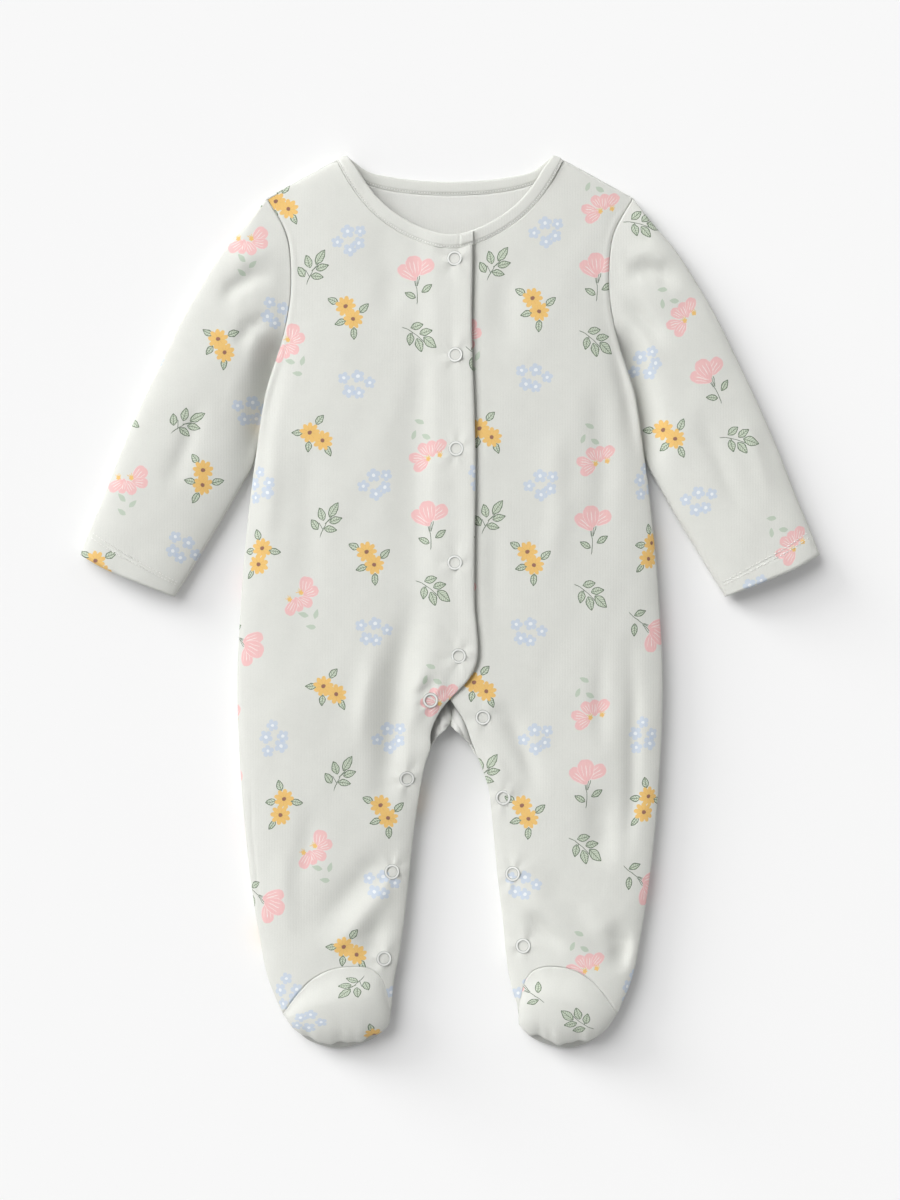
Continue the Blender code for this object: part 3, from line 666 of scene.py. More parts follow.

# The marks' places, sizes and turns in the tables below were read off enlarged crops of the
# photograph, so the motifs are traced and not drawn afresh.
# kind of mark, x, y, turn in degrees, half length, half width or bend: millimetres, y up
TULIP = (
    ("stem", -0.2, -12.5, 93.0, 9.0, 0.8),
    ("stem", -1.8, -6.5, 112.0, 3.6, 0.4),
    ("stem", 0.3, -6.3, 84.0, 3.8, -0.4),
    ("stem", 1.2, -6.8, 72.0, 3.2, 0.3),
    ("leaf", -4.4, -15.4, 150.0, 3.9, 1.9),
    ("leaf", 6.0, -11.8, 35.0, 4.0, 1.9),
    ("petal", 5.6, 1.2, 36.0, 6.2, 4.9),
    ("petal", -5.4, -1.6, 140.0, 7.0, 4.4),
    ("petal", -1.0, 2.3, 98.0, 6.9, 5.8),
)
BLOSSOM_LOW = (
    ("petal", -6.9, -0.3, 170.0, 5.2, 3.7),
    ("petal", -4.6, -4.6, 216.0, 5.4, 3.9),
    ("petal", -2.4, 4.7, 124.0, 4.4, 3.7),
    ("petal", 2.6, 4.9, 88.0, 5.2, 4.1),
    ("petal", 7.2, 5.9, 52.0, 5.2, 3.9),
    ("stamens", 0.0, -1.2, 100.0, 2.4, 1.5),
    ("stamens", 7.0, 0.6, 72.0, 2.4, 1.5),
    ("loose_leaf", -4.3, 22.0, 160.0, 3.3, 1.5),
    ("loose_leaf", -8.1, 14.0, 68.0, 3.1, 1.4),
    ("loose_leaf", -0.8, 12.6, 150.0, 3.1, 1.5),
)
BLOSSOM_HIGH = (
    ("petal", 3.6, 6.6, 74.0, 5.4, 4.9),
    ("petal", 6.3, 2.0, 22.0, 5.2, 3.8),
    ("petal", 2.6, -3.4, 330.0, 4.9, 3.7),
    ("petal", -2.0, -4.8, 290.0, 4.7, 3.5),
    ("petal", -5.8, -6.4, 240.0, 5.6, 4.0),
    ("stamens", 0.4, 2.0, 130.0, 2.6, 1.5),
    ("stamens", -6.8, -1.8, 120.0, 2.4, 1.5),
    ("loose_leaf", 1.0, -11.4, 160.0, 3.4, 1.5),
    ("loose_leaf", 9.0, -11.4, 68.0, 3.3, 1.4),
    ("loose_leaf", 5.4, -19.2, 172.0, 3.2, 1.5),
)
DAISIES_A = (
    ("leaf", -7.6, 3.9, 152.0, 3.6, 2.1),
    ("leaf", 11.3, -1.8, 40.0, 3.9, 2.1),
    ("leaf", -3.6, -9.8, 198.0, 3.8, 1.9),
    ("leaf", 4.2, -17.2, 266.0, 3.9, 2.0),
    ("daisy", 4.3, -8.1, 12.0, 6.2, 1.25),
    ("daisy", 0.0, 0.0, 0.0, 6.4, 1.3),
)
DAISIES_B = (
    ("leaf", 6.6, 7.6, 48.0, 3.9, 2.1),
    ("leaf", -7.7, 0.4, 178.0, 3.6, 1.9),
    ("leaf", -1.2, -8.6, 262.0, 3.6, 1.9),
    ("leaf", 10.8, -11.8, 292.0, 3.8, 1.9),
    ("daisy", 7.7, -5.2, 10.0, 6.3, 1.25),
    ("daisy", 0.0, 0.0, 4.0, 6.3, 1.3),
)
DAISIES_C = (
    ("leaf", -2.2, 8.5, 100.0, 3.6, 2.0),
    ("leaf", -8.4, -1.4, 186.0, 3.4, 2.0),
    ("leaf", 7.8, -2.4, 352.0, 3.7, 2.0),
    ("leaf", -8.2, -15.6, 232.0, 3.5, 1.7),
    ("daisy", -2.7, -9.8, 14.0, 6.2, 1.25),
    ("daisy", 0.0, 0.0, 0.0, 6.2, 1.25),
)
BLUE_A = (
    ("forget_me_not", -1.6, 5.0, 20.0, 4.4, 1.1),
    ("forget_me_not", 6.1, 4.7, 50.0, 3.7, 1.0),
    ("forget_me_not", -8.2, -1.2, 10.0, 3.8, 1.0),
    ("forget_me_not", 5.0, -2.7, 35.0, 4.0, 1.0),
    ("forget_me_not", -0.8, -6.5, 60.0, 4.3, 1.1),
)
BLUE_B = (
    ("forget_me_not", -7.1, 4.3, 0.0, 3.8, 1.0),
    ("forget_me_not", 1.6, 5.0, 30.0, 4.2, 1.1),
    ("forget_me_not", 8.6, 0.6, 15.0, 3.7, 1.0),
    ("forget_me_not", -4.3, -4.0, 45.0, 4.3, 1.1),
    ("forget_me_not", 1.7, -5.4, 20.0, 3.8, 1.0),
)
SPRIG_UP = (
    ("stem", -0.6, -3.4, 56.0, 8.4, -1.3),
    ("stem", -3.2, -3.6, 118.0, 2.6, 0.3),
    ("stem", 1.6, -1.0, 36.0, 2.8, 0.2),
    ("leaf", -2.4, 3.6, 104.0, 4.3, 2.3),
    ("leaf", 5.2, 5.8, 56.0, 5.4, 2.5),
    ("leaf", 6.2, -0.6, 18.0, 4.2, 2.2),
    ("leaf", -7.0, -2.6, 118.0, 4.0, 2.2),
    ("leaf", 2.6, -6.0, 350.0, 4.2, 2.1),
)
SPRIG_DOWN = (
    ("stem", -3.6, 1.4, 322.0, 8.8, -1.2),
    ("stem", -4.8, 0.6, 270.0, 2.0, 0.2),
    ("leaf", -1.6, 5.8, 14.0, 4.1, 2.3),
    ("leaf", 3.6, 1.8, 12.0, 4.2, 2.2),
    ("leaf", -6.2, -2.2, 262.0, 4.0, 2.2),
    ("leaf", -0.8, -6.0, 286.0, 4.6, 2.4),
    ("leaf", 5.8, -4.8, 316.0, 5.2, 2.8),
)

# name, its marks, turn in degrees, place in the repeat x, y, half width and half height of
# the patch that holds it and the patch's middle x, y
REPEAT = (137.0, 156.0)
MOTIFS = (
    ("daisies_c", DAISIES_C, 0.0, -35.0, 37.0, 14.0, 18.0, -1.0, -3.5),
    ("tulip_side", TULIP, -127.0, -33.0, -19.0, 20.0, 20.0, -3.0, 2.0),
    ("blue_c", BLUE_B, 90.0, -39.0, -82.0, 14.0, 14.0, 0.0, 0.0),
    ("blossom_high", BLOSSOM_HIGH, 0.0, -18.0, 5.0, 16.0, 19.5, 0.5, -4.5),
    ("sprig_up", SPRIG_UP, 0.0, 0.0, 51.0, 14.0, 14.0, 0.0, 0.0),
    ("daisies_b", DAISIES_B, 0.0, -7.0, -51.0, 17.0, 17.0, 2.0, -2.5),
    ("blue_a", BLUE_A, 0.0, 32.4, 71.6, 14.0, 13.0, 0.0, 0.0),
    ("daisies_a", DAISIES_A, 0.0, 24.0, 29.9, 17.0, 18.5, 1.5, -6.0),
    ("blue_b", BLUE_B, 0.0, 25.3, -19.2, 14.5, 12.0, 0.0, 0.0),
    ("tulip", TULIP, 0.0, 64.0, 50.2, 17.0, 20.5, 0.0, -6.0),
    ("sprig_down", SPRIG_DOWN, 0.0, 64.0, 5.0, 15.0, 13.0, 0.0, 0.0),
    ("blossom_low", BLOSSOM_LOW, 0.0, 65.0, -70.0, 16.0, 21.0, -0.5, 8.0),
)
# for each cloth piece: the motif it is laid out from, where that motif lies, the turn, and how
# much shorter the motifs are along Y, where the cloth turns down towards the toes
LAYOUT = {
    "front_right": ("sprig_up", -76.3, 49.3, 3.1, 1.0),
    "front_left": ("sprig_up", 23.9, 51.2, -1.2, 1.0),
    "back": ("sprig_up", 23.9, 51.2, -1.2, 1.0),
    "sleeve_right": ("sprig_up", -162.8, 110.0, -29.0, 1.0),
    "sleeve_left": ("sprig_down", 178.1, 99.5, 25.5, 1.0),
    "toe_cap_right": ("sprig_up", -58.6, -238.0, 170.0, 0.72),
    "toe_cap_left": ("sprig_down", 77.6, -258.8, 180.0, 0.85),
}

# copies of a motif that are moved from their place in the repeat: motif, where the copy lies
# x, y, how far it is moved x, y. These rows were written from the leftovers of a scratch script's
# fit of the render to the photograph, and the places in MOTIFS and LAYOUT were corrected with
# it. That breaks the rule against tables made by another program: see report.md.
NUDGES = {
    "front_right": (
        ("tulip_side", -105.0, -22.0, -18.0, -7.0),
        ("tulip_side", -114.0, 133.0, -16.0, -12.0),
        ("tulip_side", -97.0, -178.0, -13.5, -9.5),
        ("tulip_side", 23.0, 141.0, 4.0, 2.5),
        ("tulip_side", 31.0, -15.0, 1.0, 10.5),
        ("daisies_a", -60.0, 180.0, -4.6, -4.7),
        ("blue_a", -55.0, 228.0, -7.7, -5.3),
        ("blue_b", -58.0, 135.0, -2.2, -3.9),
        ("tulip", -20.0, 207.0, 0.0, -4.8),
        ("daisies_c", -117.0, 28.0, -5.1, -1.6),
        ("daisies_c", 12.0, 193.0, 26.0, 6.0),
        ("daisies_b", -61.0, -216.0, 4.0, -4.5),
        ("daisies_b", -94.0, 252.0, -13.0, -12.4),
        ("blossom_low", -6.0, -60.0, -1.5, 5.5),
        ("blue_b", -42.0, -175.0, -3.7, 0.0),
    ),
    "sleeve_right": (
        ("daisies_a", -142.0, 163.0, -4.7, 5.0),
        ("daisies_b", -150.0, 78.0, 3.2, 1.1),
        ("blue_b", -105.0, 182.0, -7.7, 3.3),
        ("blue_a", -128.0, 119.0, 1.6, 4.5),
        ("blue_b", -174.0, 28.0, 9.7, -4.7),
        ("blossom_high", -124.0, 222.0, 1.5, 6.2),
        ("blossom_high", -199.0, 70.0, 3.3, -4.9),
        ("tulip_side", -148.0, 202.0, -32.0, 18.0),
        ("daisies_a", -216.0, 26.0, 17.0, -10.5),
    ),
    "sleeve_left": (
        ("sprig_down", 114.0, 240.0, 8.0, -7.5),
        ("blossom_high", 153.0, 168.0, -1.5, 4.6),
        ("sprig_up", 188.0, 90.0, -3.0, -3.0),
    ),
    "toe_cap_right": (
        ("daisies_b", -56.0, -277.0, 21.0, 4.5),
        ("blue_a", -90.0, -255.0, 6.7, -10.4),
    ),
    "toe_cap_left": (("tulip_side", 40.0, -240.0, 3.5, 2.5),),
}
NUDGE_REACH = 42.0


def node_group(name, inputs, outputs):
    tree = bpy.data.node_groups.new(name, "ShaderNodeTree")
    for label, kind in inputs:
        tree.interface.new_socket(label, in_out="INPUT", socket_type=kind)
    for label in outputs:
        tree.interface.new_socket(label, in_out="OUTPUT", socket_type="NodeSocketFloat")
    start = tree.nodes.new("NodeGroupInput")
    end = tree.nodes.new("NodeGroupOutput")
    return Nodes(tree), start.outputs, end.inputs


MARK_INPUTS = (
    ("Place", "NodeSocketVector"),
    ("Centre", "NodeSocketVector"),
    ("Turn", "NodeSocketVector"),
    ("Length", "NodeSocketFloat"),
    ("Width", "NodeSocketFloat"),
)


def mark_place(n, given):
    """A mark's own coordinates in millimetres: x along it, y across it."""
    turned = n.node("ShaderNodeMapping", {"Vector": given["Place"], "Location": given["Centre"],
                                          "Rotation": given["Turn"]}, vector_type="TEXTURE")
    parts = n.node("ShaderNodeSeparateXYZ", {"Vector": turned.outputs["Vector"]}).outputs
    return parts["X"], parts["Y"]


def inked(n, inside, softness=0.22):
    """1 where inside, in millimetres, is above 0, over a soft edge."""
    return n.maths("MULTIPLY_ADD", inside, 1.0 / softness, 0.5, clamp=True)


def leaf_group():
    n, given, out = node_group("leaf_mark", MARK_INPUTS, ("Fill", "Line"))
    x, y = mark_place(n, given)
    u = n.maths("DIVIDE", x, given["Length"])
    taper = n.maths("SUBTRACT", 1.0, n.maths("MULTIPLY", u, u))
    skew = n.maths("MULTIPLY_ADD", u, -0.22, 1.0)
    half = n.maths("MULTIPLY", n.maths("MULTIPLY", taper, skew), given["Width"])
    away = n.maths("ABSOLUTE", y)
    inside = n.maths("SUBTRACT", half, away)
    within = n.maths("MULTIPLY", taper, 12.0, clamp=True)
    fill = n.maths("MULTIPLY", inked(n, inside), within)
    from_edge = n.maths("ABSOLUTE", n.maths("SUBTRACT", inside, 0.15))
    outline = inked(n, n.maths("SUBTRACT", 0.26, from_edge), 0.16)
    rib = n.maths("MULTIPLY", inked(n, n.maths("SUBTRACT", 0.17, away), 0.2), fill)
    slant = n.maths("MULTIPLY_ADD", away, -0.85, x)
    saw = n.maths("PINGPONG", slant, 0.75)
    veins = n.maths("MULTIPLY", inked(n, n.maths("SUBTRACT", 0.16, saw), 0.2), fill)
    edge = n.maths("MULTIPLY", outline, within)
    line = n.maths("MAXIMUM", edge, n.maths("MAXIMUM", rib, n.maths("MULTIPLY", veins, 0.8)))
    n.link(fill, out["Fill"])
    n.link(line, out["Line"])
    return n.tree


def petal_group():
    n, given, out = node_group("petal_mark", MARK_INPUTS, ("Fill", "Line"))
    x, y = mark_place(n, given)
    u = n.maths("DIVIDE", x, given["Length"])
    taper = n.maths("SUBTRACT", 1.0, n.maths("MULTIPLY", u, u))
    round_off = n.maths("SQRT", n.maths("MAXIMUM", taper, 0.0))
    skew = n.maths("MULTIPLY_ADD", u, 0.2, 0.86)
    half = n.maths("MULTIPLY", n.maths("MULTIPLY", round_off, skew), given["Width"])
    away = n.maths("ABSOLUTE", y)
    inside = n.maths("SUBTRACT", half, away)
    within = n.maths("MULTIPLY", taper, 9.0, clamp=True)
    fill = n.maths("MULTIPLY", inked(n, inside), within)
    fan = n.maths("MULTIPLY", n.maths("MULTIPLY_ADD", u, 0.16, 0.40), given["Width"])
    side_vein = n.maths("ADD", n.maths("ABSOLUTE", n.maths("SUBTRACT", away, fan)), 0.06)
    vein = inked(n, n.maths("SUBTRACT", 0.19, n.maths("MINIMUM", away, side_vein)), 0.25)
    rim = inked(n, n.maths("SUBTRACT", 0.24, inside), 0.2)
    rim = n.maths("MULTIPLY", rim, n.maths("MULTIPLY_ADD", u, -0.8, 0.75, clamp=True))
    from_base = n.maths("MULTIPLY_ADD", u, 4.0, 2.6, clamp=True)
    to_tip = n.maths("MULTIPLY_ADD", u, -5.0, 2.6, clamp=True)
    vein = n.maths("MULTIPLY", n.maths("MULTIPLY", vein, from_base), to_tip)
    line = n.maths("MULTIPLY", n.maths("MAXIMUM", vein, rim), fill)
    n.link(fill, out["Fill"])
    n.link(line, out["Line"])
    return n.tree


def flower_group(name, petals, depth, sharp):
    n, given, out = node_group(name, MARK_INPUTS, ("Fill", "Line", "Centre"))
    x, y = mark_place(n, given)
    away = n.maths("SQRT", n.maths("ADD", n.maths("MULTIPLY", x, x), n.maths("MULTIPLY", y, y)))
    angle = n.maths("MULTIPLY", n.maths("ARCTAN2", y, x), petals / 2)
    lobe = n.maths("ABSOLUTE", n.maths("COSINE", angle))
    shaped = n.maths("POWER", lobe, sharp)
    reach = n.maths("MULTIPLY", n.maths("MULTIPLY_ADD", shaped, depth, 1.0 - depth), given["Length"])
    fill = inked(n, n.maths("SUBTRACT", reach, away), 0.3)
    gap = n.maths("MULTIPLY", lobe, away)
    line = n.maths("MULTIPLY", inked(n, n.maths("SUBTRACT", 0.28, gap), 0.4), fill)
    centre = inked(n, n.maths("SUBTRACT", given["Width"], away), 0.3)
    n.link(fill, out["Fill"])
    n.link(line, out["Line"])
    n.link(centre, out["Centre"])
    return n.tree


MARK_TREES = {
    "leaf": leaf_group(),
    "petal": petal_group(),
    "daisy": flower_group("daisy_mark", 9, 0.36, 0.75),
    "forget_me_not": flower_group("forget_me_not_mark", 5, 0.5, 0.5),
}


def stem_mask(n, place, x, y, turn, half, bend):
    """A thin line, bent to one side by bend at its ends."""
    turned = n.node("ShaderNodeMapping", {"Vector": place, "Location": (x, y, 0.0),
                                          "Rotation": (0.0, 0.0, math.radians(turn))},
                    vector_type="TEXTURE")
    parts = n.node("ShaderNodeSeparateXYZ", {"Vector": turned.outputs["Vector"]}).outputs
    u = n.maths("DIVIDE", parts["X"], half)
    curve = n.maths("MULTIPLY", n.maths("MULTIPLY", u, u), bend)
    away = n.maths("ABSOLUTE", n.maths("SUBTRACT", parts["Y"], curve))
    ends = n.maths("MULTIPLY_ADD", n.maths("ABSOLUTE", u), -8.0, 8.0, clamp=True)
    return n.maths("MULTIPLY", inked(n, n.maths("SUBTRACT", 0.2, away), 0.22), ends)


def draw_mark(n, colour, place, kind, x, y, turn, length, width):
    """Lays one mark's inks over a colour."""
    if kind == "stem":
        return n.blend(stem_mask(n, place, x, y, turn, length, width), colour, STEM_INK)
    if kind == "stamens":
        for i, lean in enumerate((-42.0, -14.0, 16.0, 44.0)):
            a = math.radians(turn + lean)
            reach = length * (0.62 if i % 2 else 0.5)
            mask = stem_mask(n, place, x + reach * math.cos(a), y + reach * math.sin(a),
                             turn + lean, reach, 0.15)
            colour = n.blend(mask, colour, YELLOW_INK)
        dot = n.node("ShaderNodeGroup", {"Place": place, "Centre": (x, y, 0.0),
                                         "Length": width, "Width": 0.4},
                     node_tree=MARK_TREES["forget_me_not"])
        return n.blend(dot.outputs["Fill"], colour, YELLOW_INK)
    tree = MARK_TREES["leaf" if kind == "loose_leaf" else kind]
    mark = n.node("ShaderNodeGroup", {"Place": place, "Centre": (x, y, 0.0),
                                      "Turn": (0.0, 0.0, math.radians(turn)),
                                      "Length": length, "Width": width}, node_tree=tree).outputs
    if kind == "leaf":
        colour = n.blend(n.maths("MULTIPLY", mark["Fill"], 0.8), colour, LEAF_INK)
        return n.blend(mark["Line"], colour, LINE_INK)
    if kind == "loose_leaf":
        return n.blend(n.maths("MULTIPLY", mark["Fill"], 0.85), colour, LOOSE_LEAF_INK)
    if kind == "petal":
        colour = n.blend(n.maths("MULTIPLY", mark["Fill"], 0.92), colour, PINK_INK)
        return n.blend(n.maths("MULTIPLY", mark["Line"], 0.95), colour, WHITE_INK)
    if kind == "daisy":
        colour = n.blend(mark["Fill"], colour, YELLOW_INK)
        colour = n.blend(n.maths("MULTIPLY", mark["Line"], 0.7), colour, YELLOW_DEEP_INK)
        return n.blend(n.maths("MULTIPLY", mark["Centre"], 0.92), colour, CENTRE_INK)
    colour = n.blend(n.maths("MULTIPLY", mark["Fill"], 0.66), colour, BLUE_INK)
    colour = n.blend(n.maths("MULTIPLY", mark["Line"], 0.35), colour, BLUE_INK)
    return n.blend(mark["Centre"], colour, BLUE_CENTRE_INK)


def printed_jersey(name, marks, turn):
    """Jersey with one motif on it, placed by the cloth's motif UV map, in millimetres."""
    shader = Shader(name)
    tone = jersey_base(shader, CLOTH)
    uv = shader.node("ShaderNodeUVMap", uv_map="motif").outputs["UV"]
    wobble = shader.node("ShaderNodeTexNoise", {"Vector": uv, "Scale": 0.32, "Detail": 2.0})
    shift = shader.node("ShaderNodeVectorMath", {0: wobble.outputs["Color"], 1: (0.5, 0.5, 0.5)},
                        operation="SUBTRACT").outputs[0]
    wide = shader.node("ShaderNodeVectorMath", {0: shift, "Scale": 1.1}, operation="SCALE").outputs[0]
    place = shader.node("ShaderNodeVectorMath", {0: uv, 1: wide}, operation="ADD").outputs[0]
    turned = shader.node("ShaderNodeMapping", {"Vector": place,
                                               "Rotation": (0.0, 0.0, math.radians(turn))},
                         vector_type="TEXTURE").outputs["Vector"]
    colour = tone
    for mark in marks:
        colour = draw_mark(shader, colour, turned, *mark)
    shader.set(Base_Color=shader.blend(PRINT_STRENGTH, tone, colour))
    return shader.material


PRINTS = {name: printed_jersey("jersey_" + name, marks, turn)
          for name, marks, turn, *_ in MOTIFS}

ROLL_FROM = 6.0  # how far inside the outline a front begins to turn down
ROLL_SHARE = 0.8  # of the way down that the print is carried outwards by the turn


def unrolled(node, points):
    """X and Y of a body panel's points with its steep sides let down flat."""
    x, y, z = points.T
    side = np.sign(x)
    outer = half_width(y)
    if node == "back":
        down = np.where(outer - np.abs(x) < SIDE_CURL, z, 0.0)
    elif node in ("front_right", "front_left"):
        level = surface_height(side * (outer - ROLL_FROM), y)
        down = np.where(outer - np.abs(x) < ROLL_FROM, np.maximum(0.0, level - z), 0.0)
    else:
        down = 0.0 * z
    return np.stack([x + side * ROLL_SHARE * down * (1.0 - armhole_share(y)), y], axis=1)


def lay_print(mesh, node, nudges):
    """Puts each face that a motif reaches into the motif's material, with its UV in mm."""
    anchor, ax, ay, turn, squash = LAYOUT[node]
    rows = {row[0]: row for row in MOTIFS}
    cos_t = math.cos(math.radians(turn))
    sin_t = math.sin(math.radians(turn))
    places = unrolled(node, np.array([v.co for v in mesh.vertices]) / MM)
    corners = places[[v for p in mesh.polygons for v in p.vertices]]
    starts = np.array([p.loop_start for p in mesh.polygons])
    totals = np.array([p.loop_total for p in mesh.polygons])
    centres = np.add.reduceat(corners, np.cumsum(totals) - totals) / totals[:, None]

    def in_repeat(points):
        dx = points[:, 0] - ax
        dy = (points[:, 1] - ay) / squash
        u = dx * cos_t + dy * sin_t + rows[anchor][3]
        v = -dx * sin_t + dy * cos_t + rows[anchor][4]
        return np.stack([u, v], axis=1)

    at = in_repeat(centres)
    slot = np.zeros(len(centres), int)
    best = np.full(len(centres), 1.0)
    origin = np.zeros((len(centres), 2))
    for k, (name, _, _, mx, my, hw, hh, cx, cy) in enumerate(MOTIFS):
        home = np.tile((mx, my), (len(at), 1))
        for motif, near_x, near_y, off_x, off_y in nudges:
            away = np.hypot(centres[:, 0] - near_x, centres[:, 1] - near_y)
            here = (name == motif) & (away < NUDGE_REACH)
            up = off_y / squash
            turned = (off_x * cos_t + up * sin_t, up * cos_t - off_x * sin_t)
            home = home + here[:, None] * np.array(turned)
        cell = np.round((at - home - (cx, cy)) / REPEAT)
        near = at - home - cell * REPEAT - (cx, cy)
        far = np.maximum(np.abs(near[:, 0]) / hw, np.abs(near[:, 1]) / hh)
        closer = far < best
        best = np.where(closer, far, best)
        slot = np.where(closer, k + 1, slot)
        origin = np.where(closer[:, None], home + cell * REPEAT, origin)
    uv = in_repeat(corners) - np.repeat(origin, totals, axis=0)
    uv[np.repeat(slot == 0, totals)] = 0.0
    layer = mesh.uv_layers.new(name="motif")
    order = np.concatenate([np.arange(s, s + t) for s, t in zip(starts, totals)])
    flat = np.zeros((len(mesh.loops), 2))
    flat[order] = uv
    layer.data.foreach_set("uv", flat.ravel())
    mesh.polygons.foreach_set("material_index", slot)
    mesh.update()


# ------------------------------------------------------------------ from points to pieces


def link(name, mesh):
    made = bpy.data.objects.new(name, mesh)
    bpy.context.scene.collection.objects.link(made)
    return made


def sheet_mesh(name, grids, closed=False):
    """A mesh of quads through grids of (rows, columns, 3) points. closed joins rows' ends."""
    vertices = []
    faces = []
    start = 0
    for points in grids:
        rows, columns, _ = points.shape
        vertices.append(points.reshape(-1, 3))
        index = start + np.arange(rows * columns).reshape(rows, columns)
        if closed:
            index = np.concatenate([index, index[:, :1]], axis=1)
        quads = np.stack([index[:-1, :-1], index[1:, :-1], index[1:, 1:], index[:-1, 1:]], axis=-1)
        faces.append(quads.reshape(-1, 4))
        start += rows * columns
    mesh = bpy.data.meshes.new(name)
    mesh.from_pydata((np.concatenate(vertices) * MM).tolist(), [], np.concatenate(faces).tolist())
    mesh.update()
    return mesh


def face_way(mesh, up):
    """Turns the faces so that most look up, or down."""
    rise = sum(p.normal.z * p.area for p in mesh.polygons)
    if (rise > 0.0) != up:
        mesh.flip_normals()


LAST_SLOT = 40  # more than any piece has: Blender takes the last slot instead


def add_wall(piece):
    """Gives a sheet its thickness. Its inner side takes the last material slot; its rim keeps the
    material of the face beside it.
    """
    wall = piece.modifiers.new("wall", "SOLIDIFY")
    wall.thickness = WALL * MM
    wall.offset = -1.0
    wall.material_offset = LAST_SLOT
    wall.material_offset_rim = 0


STITCHES = {}


def finish_piece(piece, node, materials):
    for material in materials:
        piece.data.materials.append(material)
    if node in LAYOUT:
        lay_print(piece.data, node, NUDGES.get(node, ()))
    piece.data.shade_smooth()
    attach(piece, "root")
    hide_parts(node)


# ------------------------------------------------------------------ fronts and back

ROW_STEP = 2.2
EDGE_LIP = 0.3  # least that a front's edge turns down, where no seam draws it further
END_EASE = 0.75  # how strongly a grid's columns gather at its two ends
PANEL_COLUMNS = 76
TOP_ROWS = 38
FOOT_ROWS = 26
SHOULDER_PASSES = 6
GUSSET_RISE = 12.0
GUSSET_AT = (1.0, -80.0)
GUSSET_REACH = 15.0
FLAP_GAP_AT = 0.8  # X of the dip between the gusset's two flaps
FLAP_GAP_WIDTH = 2.0
FLAP_GAP = 0.6  # share of the gusset's height that the dip takes away
FLAP_WAVE = 0.1


def eased_shares(count):
    """Shares from 0 to 1 that lie closer together at both ends."""
    s = np.linspace(0.0, 1.0, count)
    ends = np.sin(s * math.pi / 2) ** 2
    return mix(s, ends, END_EASE)


def panel_grid(side, inner_at, top_y, foot_y, height, rows_to):
    """Points of a body panel, from its outer edge to its inner edge, top to bottom."""
    shares = eased_shares(PANEL_COLUMNS)
    rows = []
    top_rows = np.linspace(1.0, 0.0, TOP_ROWS)
    for k in top_rows[:-1]:
        edge_y = mix(TOP_BAND_FROM, SHOULDER_TIP[1], k)
        for _ in range(SHOULDER_PASSES):
            edge_y = mix(TOP_BAND_FROM, shoulder_line(half_width(edge_y)), k)
        outer = side * half_width(edge_y)
        x = mix(outer, inner_at(TOP_BAND_FROM), shares)
        rows.append((x, mix(TOP_BAND_FROM, top_y(x), k)))
    for y in np.arange(TOP_BAND_FROM, rows_to, -ROW_STEP):
        x = mix(side * half_width(y), inner_at(y), shares)
        rows.append((x, np.full_like(x, y)))
    if foot_y is not None:
        for k in np.linspace(0.0, 1.0, FOOT_ROWS):
            outer = side * half_width(mix(rows_to, ARCH_SEAM[0][1], k))
            inner = inner_at(mix(rows_to, ARCH_SEAM[-1][1], k))
            x = mix(outer, inner, shares)
            rows.append((x, mix(rows_to, foot_y(shares), k)))
    x = np.array([row[0] for row in rows])
    y = np.array([row[1] for row in rows])
    return np.stack([x, y, height(x, y)], axis=-1)


def front_panel(name, side):
    def top_y(x):
        return np.where(np.abs(x) > SHOULDER_NECK[0], shoulder_line(x), front_neckline(np.abs(x)))

    points = panel_grid(side, front_inner[side], top_y, arch_seam,
                        lambda x, y: front_height(side, x, y), FOOT_BAND_FROM)
    outer_low, inner_low = points[:, :1].copy(), points[:, -1:].copy()
    for low, closed in ((outer_low, 1.0 - armhole_share(outer_low[..., 1])),
                        (inner_low, smoothstep(-78.0, -98.0, inner_low[..., 1]))):
        seam = seam_height(low[..., 1])
        low[..., 2] = np.minimum(mix(low[..., 2], seam, closed), low[..., 2] - EDGE_LIP)
    points = np.concatenate([outer_low, points, inner_low], axis=1)
    mesh = sheet_mesh(name, [points])
    face_way(mesh, True)
    piece = link(name, mesh)
    add_wall(piece)
    return piece


def back_inner(side, y):
    y = np.asarray(y, float)
    crotch = back_crotch_edge[side](y)
    leg = front_inner[side](y)
    below = np.where(y > BACK_CROTCH_EDGE[side][0][0], crotch, leg)
    return np.where(y >= BACK_CROTCH[1], BACK_CROTCH[0], below)


def back_height(side, x, y):
    side_edge = seam_height(y) * curl(half_width(y) - np.abs(x), SIDE_CURL)
    side_edge = side_edge * (1.0 - armhole_share(y))
    leg = smoothstep(-74.0, -95.0, y)
    inner_edge = seam_height(y) * leg * curl(np.abs(x - back_inner(side, y)), LEG_CURL)
    shoulder = SHOULDER_HEIGHT * curl(shoulder_line(x) - y, SHOULDER_CURL)
    gap = np.exp(-(((x - FLAP_GAP_AT) / FLAP_GAP_WIDTH) ** 2))
    flaps = 1.0 - FLAP_GAP * gap + FLAP_WAVE * np.sin(x * 1.1 + y * 0.5)
    across = (x - GUSSET_AT[0]) / GUSSET_REACH
    along = (y - GUSSET_AT[1]) / GUSSET_REACH
    gusset = GUSSET_RISE * flaps * np.exp(-(across**2) - (along**2))
    return np.maximum(np.maximum(side_edge, inner_edge), np.maximum(shoulder, gusset))


